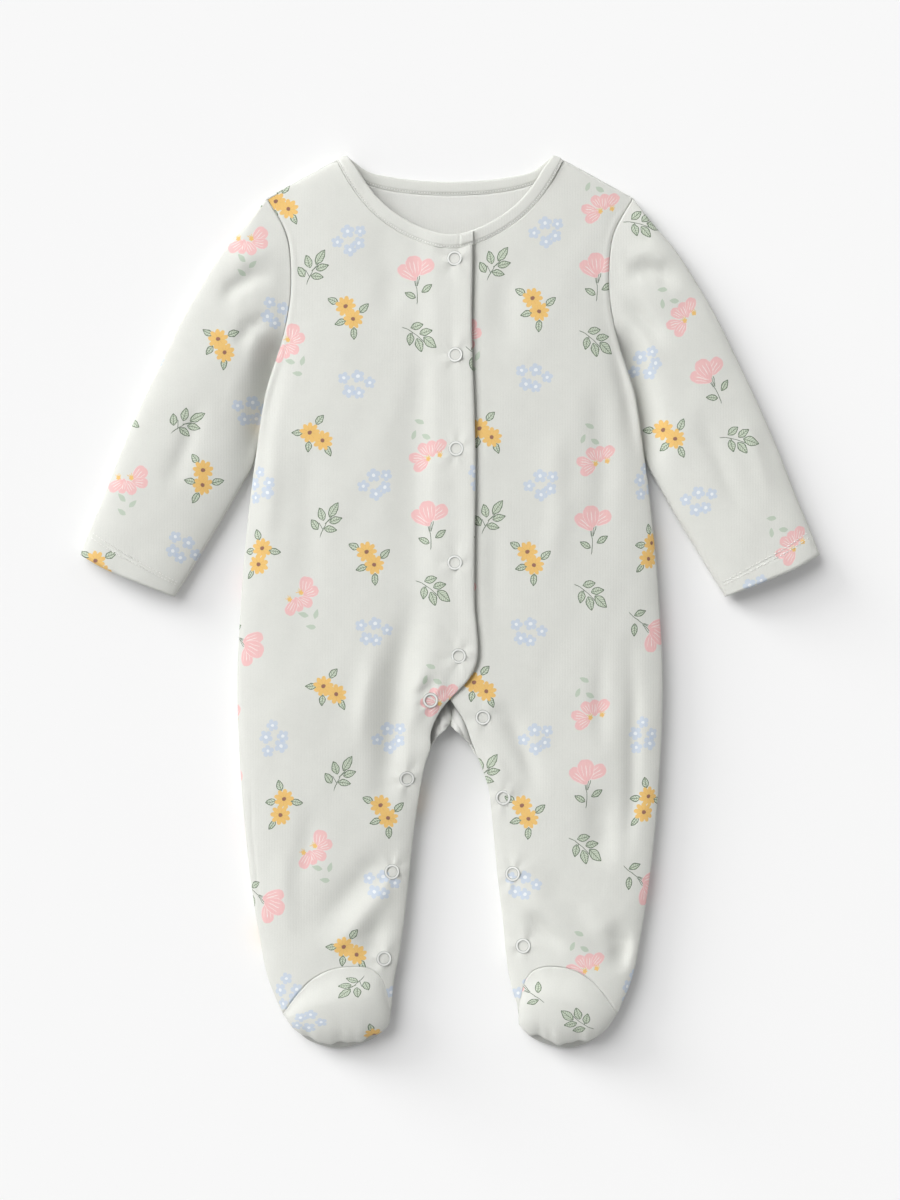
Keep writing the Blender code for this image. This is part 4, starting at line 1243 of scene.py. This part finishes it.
def back_panel(name):
    def top_y(x):
        return np.where(np.abs(x) > SHOULDER_NECK[0], shoulder_line(x), back_neckline(np.abs(x)))

    grids = []
    for side in (RIGHT, LEFT):
        points = panel_grid(side, lambda y, side=side: back_inner(side, y), top_y, None,
                            lambda x, y, side=side: back_height(side, x, y), HEEL_SEAM)
        grids.append(points if side == RIGHT else points[:, ::-1])
    mesh = sheet_mesh(name, grids)
    face_way(mesh, False)
    piece = link(name, mesh)
    weld = piece.modifiers.new("weld", "WELD")
    weld.merge_threshold = 0.00002
    add_wall(piece)
    return piece


# ------------------------------------------------------------------ feet

SOLE_SHOWS = 3.0
SOLE_BULGE_HEIGHT = 4.5
TOE_PUCKER = 0.45
TOE_RIM = 1.3  # how far the cap's edge stands up along the toe seam


def toe_lip(side, t):
    """How far inside the toe's outline the cap's seam runs, where the sole turns up."""
    ends = smoothstep(0.03, 0.28, t) * smoothstep(0.98, 0.76, t)
    return SOLE_SHOWS * ends * (1.0 + 0.38 * np.sin(t * 17.0 + side) + 0.15 * np.sin(t * 41.0))


def toe_cap(name, side):
    t = eased_shares(44)[None, :]
    v = np.linspace(0.0, 1.0, 40)[:, None]
    arch_y = arch_seam(t)
    seam_y = toe_outline(t) + toe_lip(side, t)
    y = mix(arch_y, seam_y, v)
    outer = side * half_width(mix(ARCH_SEAM[0][1], TOE_OUTLINE[0][1], v))
    inner = front_inner[side](mix(ARCH_SEAM[-1][1], TOE_OUTLINE[-1][1], v))
    x = mix(outer, inner, t)
    across = bulge(2.0 * t - 1.0, LEG_POWER)
    along = bulge(np.maximum(0.0, (v - 0.3) / 0.7), TOE_POWER)
    arch_z = surface_height(x, arch_y + 0.0 * v)
    crown = mix(arch_z, TOE_SEAM_HEIGHT + (TOE_CROWN - TOE_SEAM_HEIGHT) * across,
                smoothstep(0.0, 0.45, v))
    z = TOE_SEAM_HEIGHT + (crown - TOE_SEAM_HEIGHT) * along
    z = np.maximum(z, TOE_SEAM_HEIGHT)
    near_toe = np.exp(-(((1.0 - v) / 0.16) ** 2)) * (1.0 - v**8)
    near_arch = np.exp(-((v / 0.12) ** 2)) * smoothstep(0.0, 0.02, v)
    z = z + TOE_RIM * np.exp(-(((1.0 - v) / 0.035) ** 2))
    z = z + TOE_PUCKER * near_toe * np.sin(t * 46.0 + 2.0 * np.sin(t * 9.0))
    z = z + TOE_PUCKER * near_arch * (0.6 + 0.5 * np.sin(t * 38.0 + 1.5 * np.sin(t * 7.0)))
    points = np.stack([x, y + 0.0 * x, z], axis=-1)
    mesh = sheet_mesh(name, [points])
    face_way(mesh, True)
    piece = link(name, mesh)
    add_wall(piece)
    return piece


def sole(name, side):
    t = eased_shares(44)[None, :]
    v = eased_shares(36)[:, None]
    y = mix(HEEL_SEAM, toe_outline(t), v)
    rise = np.linspace(0.0, 1.0, 9)[1:, None]
    outer_y = mix(HEEL_SEAM, TOE_OUTLINE[0][1], v)
    outer = side * half_width(outer_y)
    inner = front_inner[side](mix(HEEL_SEAM, TOE_OUTLINE[-1][1], v))
    x = mix(outer, inner, t)
    low = seam_height(outer_y)
    z = np.maximum(low * curl(np.abs(x - outer), SIDE_CURL), low * curl(np.abs(x - inner), LEG_CURL))
    z = np.maximum(z, SOLE_BULGE_HEIGHT * curl(y - toe_outline(t), SIDE_CURL))
    under = np.stack([x, y, z], axis=-1)
    last = under[-1:]
    over_y = toe_outline(t) + toe_lip(side, t) * rise
    over_z = last[..., 2] + (TOE_SEAM_HEIGHT - last[..., 2]) * rise**0.9
    over = np.stack([last[..., 0] + 0.0 * rise, over_y, over_z], axis=-1)
    mesh = sheet_mesh(name, [np.concatenate([under, over])])
    face_way(mesh, False)
    piece = link(name, mesh)
    add_wall(piece)
    return piece


# ------------------------------------------------------------------ sleeves

HEM_AT = 0.942  # share of the sleeve's length at which its hem is sewn
HEM_ROWS = (0.936, 0.948)
HEM_FOLD = 0.35
HEM_GROOVE = 0.45
HEM_GROOVE_WIDTH = 0.0045
HEM_PUCKER = 0.14
HEM_PUCKER_WIDTH = 0.018


def sleeve_plan(s, t):
    """Plan points at share s of the sleeve's length and t of its width."""
    outer_fold = smooth_path(SLEEVE_OUTER)
    inner_fold = smooth_path(SLEEVE_INNER)
    cuff = smooth_path(SLEEVE_CUFF)

    def armhole(t):
        y = mix(SLEEVE_OUTER[0][1], SLEEVE_INNER[0][1], t)
        tuck = mix(0.1, -1.6, smoothstep(165.0, 140.0, y))
        edge = half_width(y) + tuck
        return np.stack([mix(edge, SLEEVE_INNER[0][0], smoothstep(0.9, 1.0, t)), y], axis=-1)

    s3 = s[..., None]
    t3 = t[..., None] ** FOLD_BLEND
    along = mix(outer_fold(s), inner_fold(s), t3)
    across = mix(armhole(t), cuff(t), s3)
    start = mix(armhole(np.zeros_like(t)), armhole(np.ones_like(t)), t3)
    end = mix(cuff(np.zeros_like(t)), cuff(np.ones_like(t)), t3)
    return along + across - mix(start, end, s3)


def sleeve_top(side, s, t):
    """Points of a sleeve's upper side."""
    plan = sleeve_plan(s, t)
    near_body = 1.0 - smoothstep(0.15, 0.5, s)
    inner_edge = mix(SLEEVE_EDGE_HEIGHT, UNDERARM_EDGE_HEIGHT, near_body)
    crown = mix(SLEEVE_CROWN, CUFF_CROWN, s)
    inner_side = smoothstep(0.4, 0.7, t)
    edge = mix(SLEEVE_EDGE_HEIGHT, inner_edge, inner_side)
    power = mix(SLEEVE_POWER, UNDERARM_POWER, inner_side * near_body)
    form = bulge(2.0 * t - 1.0, power)
    z = edge + (crown - edge) * form
    seam = np.minimum(armhole_height(plan[..., 1]), edge + (SLEEVE_CROWN - edge) * form)
    low = mix(seam, UNDERARM_EDGE_HEIGHT + 1.0, smoothstep(172.0, 142.0, plan[..., 1]))
    z = mix(np.minimum(seam, low), z, smoothstep(0.0, 0.2, s))
    room = form**0.5
    x = side * plan[..., 0]
    z = z + (creases(x, plan[..., 1]) + ripple(plan[..., 0], plan[..., 1])) * room
    hem = HEM_FOLD * smoothstep(HEM_AT - 0.003, HEM_AT + 0.004, s)
    groove = HEM_GROOVE * np.exp(-(((s - HEM_AT) / HEM_GROOVE_WIDTH) ** 2))
    near_hem = np.exp(-(((s - HEM_AT) / HEM_PUCKER_WIDTH) ** 2))
    pucker = HEM_PUCKER * np.sin(t * 120.0 + 3.0 * np.sin(t * 17.0)) * near_hem
    z = z + (hem - groove + pucker) * room
    return np.stack([x, plan[..., 1], np.maximum(z, 1.2)], axis=-1)


def sleeve_points(side):
    s_line = mix(np.linspace(0.0, 1.0, 124), np.linspace(0.0, 1.0, 124) ** 1.5, 0.3)
    top_t = eased_shares(48)
    under_t = eased_shares(26)[::-1][1:-1]
    s, t = np.meshgrid(s_line, top_t, indexing="ij")
    top = sleeve_top(side, s, t)
    s, t = np.meshgrid(s_line, under_t, indexing="ij")
    plan = sleeve_plan(s, t)
    width = np.linalg.norm(sleeve_plan(s, t * 0.0) - sleeve_plan(s, t * 0.0 + 1.0), axis=-1)
    inner_edge = mix(SLEEVE_EDGE_HEIGHT, UNDERARM_EDGE_HEIGHT, 1.0 - smoothstep(0.15, 0.5, s))
    z = np.maximum(SLEEVE_EDGE_HEIGHT * curl(t * width, SLEEVE_CURL),
                   inner_edge * curl((1.0 - t) * width, SLEEVE_CURL))
    under = np.stack([side * plan[..., 0], plan[..., 1], z], axis=-1)
    return np.concatenate([top, under], axis=1)


def sleeve(name, side):
    mesh = sheet_mesh(name, [sleeve_points(side)], closed=True)
    centre = np.mean([v.co.z for v in mesh.vertices])
    outward = sum((p.center.z - centre) * p.normal.z * p.area for p in mesh.polygons)
    if outward < 0.0:
        mesh.flip_normals()
    piece = link(name, mesh)
    add_wall(piece)
    return piece


# ------------------------------------------------------------------ neckband


BAND_SEAT = 0.3  # how far the band's sewn edge sits into the front
TIP_TUCK = 0.4  # share of the turn by which the sewn edge goes round the shoulder's tip
LAP_FROM_Y = 210.0  # height along Y at which a front's inner edge gives the lap's end
BAND_PASSES = 14


def band_edges(neckline, x, turn_to=None):
    """The sewn and the free edge of the band along a neckline, eased towards turn_to."""
    step = 0.5
    high = np.minimum(SHOULDER_NECK[0], x + step)
    low = np.maximum(0.0, x - step)
    normal = np.stack([-(neckline(high) - neckline(low)), high - low], axis=-1)
    normal /= np.linalg.norm(normal, axis=-1, keepdims=True)
    sewn = np.stack([x, neckline(x)], axis=-1)
    if turn_to is not None:
        share = smoothstep(30.0, SHOULDER_NECK[0], x)[..., None]
        normal = mix(normal, turn_to, share)
        normal /= np.linalg.norm(normal, axis=-1, keepdims=True)
    return sewn, sewn + normal * BAND_WIDTH


def neckband_stations():
    """(sewn edge, free edge) of the band in 3-D, from its right end round to its left end."""
    halves = {}
    neck = SHOULDER_NECK[0]
    for side in (RIGHT, LEFT):
        x = neck * (1.0 - np.linspace(1.0, 0.0, 60) ** 1.3)
        sewn, free = band_edges(front_neckline, x)
        lift = stand_lift(side * x) if side == RIGHT else 0.0 * x
        z = surface_height(side * x, sewn[:, 1]) + lift - BAND_SEAT
        z = z + BAND_TURN * smoothstep(55.0, neck, x)
        low_z = z[:, None]
        front = np.concatenate(
            [sewn * (side, 1), low_z, free * (side, 1), low_z + BAND_SEAT], axis=1)
        way = free[-1] - sewn[-1]
        way /= np.linalg.norm(way)
        turns = []
        for a in np.linspace(0.0, math.pi, 9)[1:-1]:
            over = np.array([-way[1], way[0]]) * BAND_TURN * math.sin(a)
            height = SHOULDER_HEIGHT + BAND_TURN * math.cos(a)
            p = (sewn[-1] + TIP_TUCK * over) * (side, 1)
            q = (free[-1] + over) * (side, 1)
            turns.append([*p, height, *q, height])
        x = x[::-1]
        sewn, free = band_edges(back_neckline, x, way)
        z = back_height(side, side * x, sewn[:, 1]) + WALL / 2
        z = np.maximum(BAND_THICKNESS / 2, np.minimum(z, SHOULDER_HEIGHT - BAND_TURN))
        back = np.concatenate([sewn * (side, 1), z[:, None], free * (side, 1), z[:, None]], axis=1)
        lap_x = np.linspace(float(front_inner[side](LAP_FROM_Y)), 0.0, 40)[:-1]
        lap_y = front_neckline(np.abs(lap_x))
        lap_z = surface_height(lap_x, lap_y) - BAND_SEAT + (stand_lift(lap_x) if side == RIGHT else 0.0)
        lap = np.stack([lap_x, lap_y, lap_z, lap_x, lap_y + BAND_WIDTH, lap_z + BAND_SEAT], axis=1)
        halves[side] = np.concatenate([lap, front, np.array(turns), back])
    stations = np.concatenate([halves[RIGHT], halves[LEFT][::-1][1:]])
    for _ in range(BAND_PASSES):
        stations[1:-1] = (stations[:-2] + 2.0 * stations[1:-1] + stations[2:]) / 4.0
    return stations


def band_frame(stations):
    """The band's sewn edge, its width and its thickness direction at each station."""
    low = stations[:, :3]
    width = stations[:, 3:] - low
    along = np.gradient(low + width / 2, axis=0)
    normal = np.cross(along, width)
    return low, width, normal / np.linalg.norm(normal, axis=1, keepdims=True)


TAB_FOLD = 6.0  # X of the fold where the band's end is turned over
TAB_THICKER = 0.6
FOLD_WIDTH = 0.55
FOLD_THINNER = 0.3
NECK_TIP = 70.0  # distance of the shoulders' tips from X = 0
TIP_REACH = 3.5
TIP_NARROWER = 0.2
SEAM_DIP = 0.62  # how much thinner the band is along its seam
SEAM_MIDDLE = 0.13
SEAM_WIDTH = 0.06
SEAM_SHADE_FROM = 0.06  # shares of the band's width between which painted shade darkens its seam's groove
SEAM_SHADE_TO = 0.15


def neckband(name):
    """A rounded strip: each station is a flattened ring round the band's width."""
    stations = neckband_stations()
    low, width, normal = band_frame(stations)
    right_end = np.arange(len(low)) < len(low) // 4
    tab = smoothstep(TAB_FOLD - 0.2, TAB_FOLD + 0.9, low[:, 0]) * right_end
    fold = np.exp(-(((low[:, 0] - TAB_FOLD) / FOLD_WIDTH) ** 2)) * right_end
    thickness = BAND_THICKNESS * (1.0 + TAB_THICKER * tab - FOLD_THINNER * fold)[:, None]
    from_tip = np.minimum(np.abs(low[:, 0] + NECK_TIP), np.abs(low[:, 0] - NECK_TIP))
    turn = np.exp(-((from_tip / TIP_REACH) ** 2))
    width = width * (1.0 - TIP_NARROWER * turn)[:, None]
    ring = []
    shaded = []
    for a in np.linspace(0.0, 2 * math.pi, 41)[:-1]:
        across = 0.5 + 0.5 * np.sign(math.cos(a)) * abs(math.cos(a)) ** 0.6
        thick = 0.5 * thickness * np.sign(math.sin(a)) * abs(math.sin(a)) ** 0.7
        sewn_dip = 1.0 - SEAM_DIP * math.exp(-((across - SEAM_MIDDLE) / SEAM_WIDTH) ** 2)
        ring.append(low + width * across - normal * thick * sewn_dip)
        shaded.append(SEAM_SHADE_FROM < across < SEAM_SHADE_TO)
    points = np.stack(ring, axis=1)
    mesh = sheet_mesh(name, [points], closed=True)
    count = len(ring)
    between = np.array(shaded) & np.roll(shaded, -1)
    # faces between these shares take the band's second material, painted seam shade
    mesh.polygons.foreach_set("material_index", np.tile(between, len(points) - 1).astype(int))
    last = len(mesh.vertices)
    bm = bmesh.new()
    bm.from_mesh(mesh)
    bm.verts.ensure_lookup_table()
    bm.faces.new([bm.verts[i] for i in range(count)])
    bm.faces.new([bm.verts[last - count + i] for i in range(count)][::-1])
    bmesh.ops.recalc_face_normals(bm, faces=bm.faces)
    bm.to_mesh(mesh)
    bm.free()
    return link(name, mesh)


# ------------------------------------------------------------------ stitches

THREAD_SIDES = 6
# share along a stitch, share of its full thickness
THREAD_FORM = ((-0.5, 0.35), (-0.3, 0.9), (0.0, 1.0), (0.3, 0.9), (0.5, 0.35))


def stitch_row(name, path, spacing, length, radius):
    """Small rounded stitches along a path of (x, y, z) points."""
    steps = np.linalg.norm(np.diff(path, axis=0), axis=1)
    run = np.concatenate([[0.0], np.cumsum(steps)])
    places = np.arange(spacing / 2, run[-1], spacing)
    vertices = []
    faces = []
    rings = len(THREAD_FORM)
    for place in places:
        at = np.array([np.interp(place, run, path[:, k]) for k in range(3)])
        ahead = np.array([np.interp(min(place + 0.4, run[-1]), run, path[:, k]) for k in range(3)])
        behind = np.array([np.interp(max(place - 0.4, 0.0), run, path[:, k]) for k in range(3)])
        way = (ahead - behind) / np.linalg.norm(ahead - behind)
        across = np.cross(way, (0.0, 0.0, 1.0))
        across /= np.linalg.norm(across)
        up = np.cross(across, way)
        start = len(vertices)
        for share, thick in THREAD_FORM:
            for k in range(THREAD_SIDES):
                a = 2 * math.pi * k / THREAD_SIDES
                out = radius * thick * (across * math.cos(a) + 0.7 * up * math.sin(a))
                vertices.append((at + way * share * length + out) * MM)
        for r in range(rings - 1):
            for k in range(THREAD_SIDES):
                here = start + r * THREAD_SIDES
                after = (k + 1) % THREAD_SIDES
                faces.append((here + k, here + THREAD_SIDES + k,
                              here + THREAD_SIDES + after, here + after))
        faces.append(tuple(start + k for k in range(THREAD_SIDES)))
        faces.append(tuple(start + (rings - 1) * THREAD_SIDES + k
                           for k in reversed(range(THREAD_SIDES))))
    mesh = bpy.data.meshes.new(name)
    mesh.from_pydata([tuple(v) for v in vertices], [], faces)
    mesh.update()
    return link(name, mesh)


def neck_stitch_paths():
    """Paths of the cover stitch on the band's upper side, front and back apart."""
    low, width, normal = band_frame(neckband_stations())
    up = np.where(normal[:, 2:] > 0.0, normal, -normal)
    path = low + width * 0.14 + up * (BAND_THICKNESS / 2 * 0.62)
    level = up[:, 2] > 0.8
    cuts = np.flatnonzero(np.diff(level.astype(int)))
    parts = np.split(np.arange(len(path)), cuts + 1)
    return [path[part[1:-1]] for part in parts if level[part[0]] and len(part) > 8]


def hem_stitch_path(side, s):
    t = np.linspace(0.04, 0.96, 60)
    path = sleeve_top(side, np.full_like(t, s), t)
    path[:, 2] += 0.3
    return path


# ------------------------------------------------------------------ snaps


def snap_ring(node, x, y, side):
    """A turned ring cap with a rounded face, tilted with the cloth under it."""

    def height(px, py):
        return float(front_height(side, np.array(px, float), np.array(py, float)))

    reach = SNAP_OUTER
    slope_x = (height(x + reach, y) - height(x - reach, y)) / (2 * reach)
    slope_y = (height(x, y + reach) - height(x, y - reach)) / (2 * reach)
    seat = height(x, y) + 0.1
    profile = []
    middle = (SNAP_OUTER + SNAP_INNER) / 2
    half = (SNAP_OUTER - SNAP_INNER) / 2
    for a in np.linspace(0.0, 2 * math.pi, 17)[:-1]:
        r = middle + half * np.sign(math.cos(a)) * abs(math.cos(a)) ** 0.5
        z = 0.1 + 0.34 * np.sign(math.sin(a)) * abs(math.sin(a)) ** 0.5
        profile.append((r, z))
    turns = 48
    points = np.array([
        [(r * math.cos(b), r * math.sin(b), z) for r, z in profile]
        for b in np.linspace(0.0, 2 * math.pi, turns + 1)[:-1]
    ])
    points = np.concatenate([points, points[:1]])
    mesh = sheet_mesh(node + "_ring", [points], closed=True)
    bm = bmesh.new()
    bm.from_mesh(mesh)
    bmesh.ops.remove_doubles(bm, verts=bm.verts, dist=0.000001)
    bmesh.ops.recalc_face_normals(bm, faces=bm.faces)
    bm.to_mesh(mesh)
    bm.free()
    ring = link(node + "_ring", mesh)
    ring.location = (x * MM, y * MM, seat * MM)
    ring.rotation_euler = (math.atan(slope_y), -math.atan(slope_x), 0.0)
    return ring


def ring_material():
    """Enamel with painted shade in the turned grooves beside the ring's two edges."""
    shader = Shader("pearl_enamel_painted_groove_shade")
    place = shader.node("ShaderNodeTexCoord").outputs["Object"]
    away = shader.node("ShaderNodeVectorMath", {0: place, 1: (1.0, 1.0, 0.0)},
                       operation="MULTIPLY").outputs["Vector"]
    away = shader.node("ShaderNodeVectorMath", {0: away}, operation="LENGTH").outputs["Value"]
    shade = 0.0
    for radius in (SNAP_INNER + 0.12, SNAP_OUTER - 0.12):
        gap = shader.maths("ABSOLUTE", shader.maths("SUBTRACT", away, radius * MM))
        near = shader.maths("MULTIPLY_ADD", gap, -1.0 / (0.3 * MM), 1.0, clamp=True)
        shade = shader.maths("MAXIMUM", shade, near)
    # the enamel darkens near both edges: painted groove shade
    colour = shader.blend(shader.maths("MULTIPLY", shade, 0.85), ENAMEL, ENAMEL_GROOVE_PAINTED_SHADE)
    shader.set(Base_Color=colour, Roughness=0.5, Specular_IOR_Level=0.3)
    return shader.material


RING = ring_material()

THREAD = plain_jersey("thread", (0.80, 0.80, 0.77))

# ------------------------------------------------------------------ making

CLOTH_SLOTS = [JERSEY, *PRINTS.values(), REVERSE]
finish_piece(front_panel("front_right_cloth", RIGHT), "front_right", CLOTH_SLOTS)
finish_piece(front_panel("front_left_cloth", LEFT), "front_left", CLOTH_SLOTS)
finish_piece(back_panel("back_cloth"), "back", CLOTH_SLOTS)
finish_piece(sleeve("sleeve_right_cloth", RIGHT), "sleeve_right", CLOTH_SLOTS)
finish_piece(sleeve("sleeve_left_cloth", LEFT), "sleeve_left", CLOTH_SLOTS)
finish_piece(toe_cap("toe_cap_right_cloth", RIGHT), "toe_cap_right", CLOTH_SLOTS)
finish_piece(toe_cap("toe_cap_left_cloth", LEFT), "toe_cap_left", CLOTH_SLOTS)
finish_piece(sole("sole_right_cloth", RIGHT), "sole_right", [SOLE_PAINTED_SHADE, REVERSE])
finish_piece(sole("sole_left_cloth", LEFT), "sole_left", [SOLE_PAINTED_SHADE, REVERSE])
finish_piece(neckband("neck_binding"), "neckband", [BINDING, BINDING_SEAM_PAINTED_SHADE])
for number, path in enumerate(neck_stitch_paths()):
    row = stitch_row("neck_stitches_%d" % number, path, 1.7, 1.05, 0.3)
    row.data.materials.append(THREAD)
    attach(row, "root")
    STITCHES.setdefault("neckband", []).append(row)
for side, label in ((RIGHT, "right"), (LEFT, "left")):
    for number, share in enumerate(HEM_ROWS):
        row = stitch_row("cuff_stitches_%s_%d" % (label, number), hem_stitch_path(side, share),
                         2.3, 1.6, 0.32)
        row.data.materials.append(THREAD)
        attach(row, "root")
        STITCHES.setdefault("sleeve_" + label, []).append(row)
for snap_node, snap_x, snap_y, snap_side in SNAPS:
    finish_piece(snap_ring(snap_node, snap_x, snap_y, snap_side), snap_node, [RING])

# ------------------------------------------------------------------ table, light and camera

ROOM_LIGHT = 0.415
# name, strength, degrees above the table, bearing from X in degrees, width in degrees, what it
# lights: the low window lights only the table, so the clothing's near sides don't burn out
LAMPS = (
    ("window", 2.6, 13.0, 146.0, 26.0, "table"),
    ("side_window", 0.85, 15.0, 146.0, 20.0, "clothing"),
    ("high_window", 0.45, 58.0, 146.0, 30.0, "clothing"),
    ("overhead_panel", 2.0, 44.0, 136.0, 46.0, "both"),
)
TABLE_REACH = 2.5
TABLE_TOP = -0.0004
CAMERA_LENS = 90.0
CAMERA_HEIGHT = 1.86

floor_mesh = bpy.data.meshes.new("table")
corners = [(x * TABLE_REACH, y * TABLE_REACH, TABLE_TOP) for x, y in ((-1, -1), (1, -1), (1, 1), (-1, 1))]
floor_mesh.from_pydata(corners, [], [(0, 1, 2, 3)])
table = link("table", floor_mesh)
table_shader = Shader("white_table")
table_shader.set(Base_Color=LINEN_WHITE, Roughness=1.0, Specular_IOR_Level=0.0)
floor_mesh.materials.append(table_shader.material)

world = bpy.data.worlds.new("soft_room")
bpy.context.scene.world = world
world.use_nodes = True
world.node_tree.nodes["Background"].inputs["Color"].default_value = (1.0, 1.0, 1.0, 1.0)
world.node_tree.nodes["Background"].inputs["Strength"].default_value = ROOM_LIGHT

LIT = {"table": bpy.data.collections.new("lit_table")}
LIT["table"].objects.link(table)
LIT["clothing"] = bpy.data.collections.new("lit_clothing")
for piece in bpy.data.objects:
    if piece.type == "MESH" and piece != table:
        LIT["clothing"].objects.link(piece)
for lamp_name, strength, up, bearing, width, lights in LAMPS:
    lamp_data = bpy.data.lights.new(lamp_name, "SUN")
    lamp_data.energy = strength
    lamp_data.angle = math.radians(width)
    lamp = bpy.data.objects.new(lamp_name, lamp_data)
    bpy.context.scene.collection.objects.link(lamp)
    lamp.rotation_euler = (math.radians(90.0 - up), 0.0, math.radians(bearing + 90.0))
    if lights in LIT:
        lamp.light_linking.receiver_collection = LIT[lights]

camera_data = bpy.data.cameras.new("overhead")
camera_data.lens = CAMERA_LENS
camera = bpy.data.objects.new("overhead", camera_data)
camera.location = (0.0, 0.0, CAMERA_HEIGHT)
bpy.context.scene.collection.objects.link(camera)
bpy.context.scene.camera = camera
bpy.context.scene.view_settings.view_transform = "Standard"
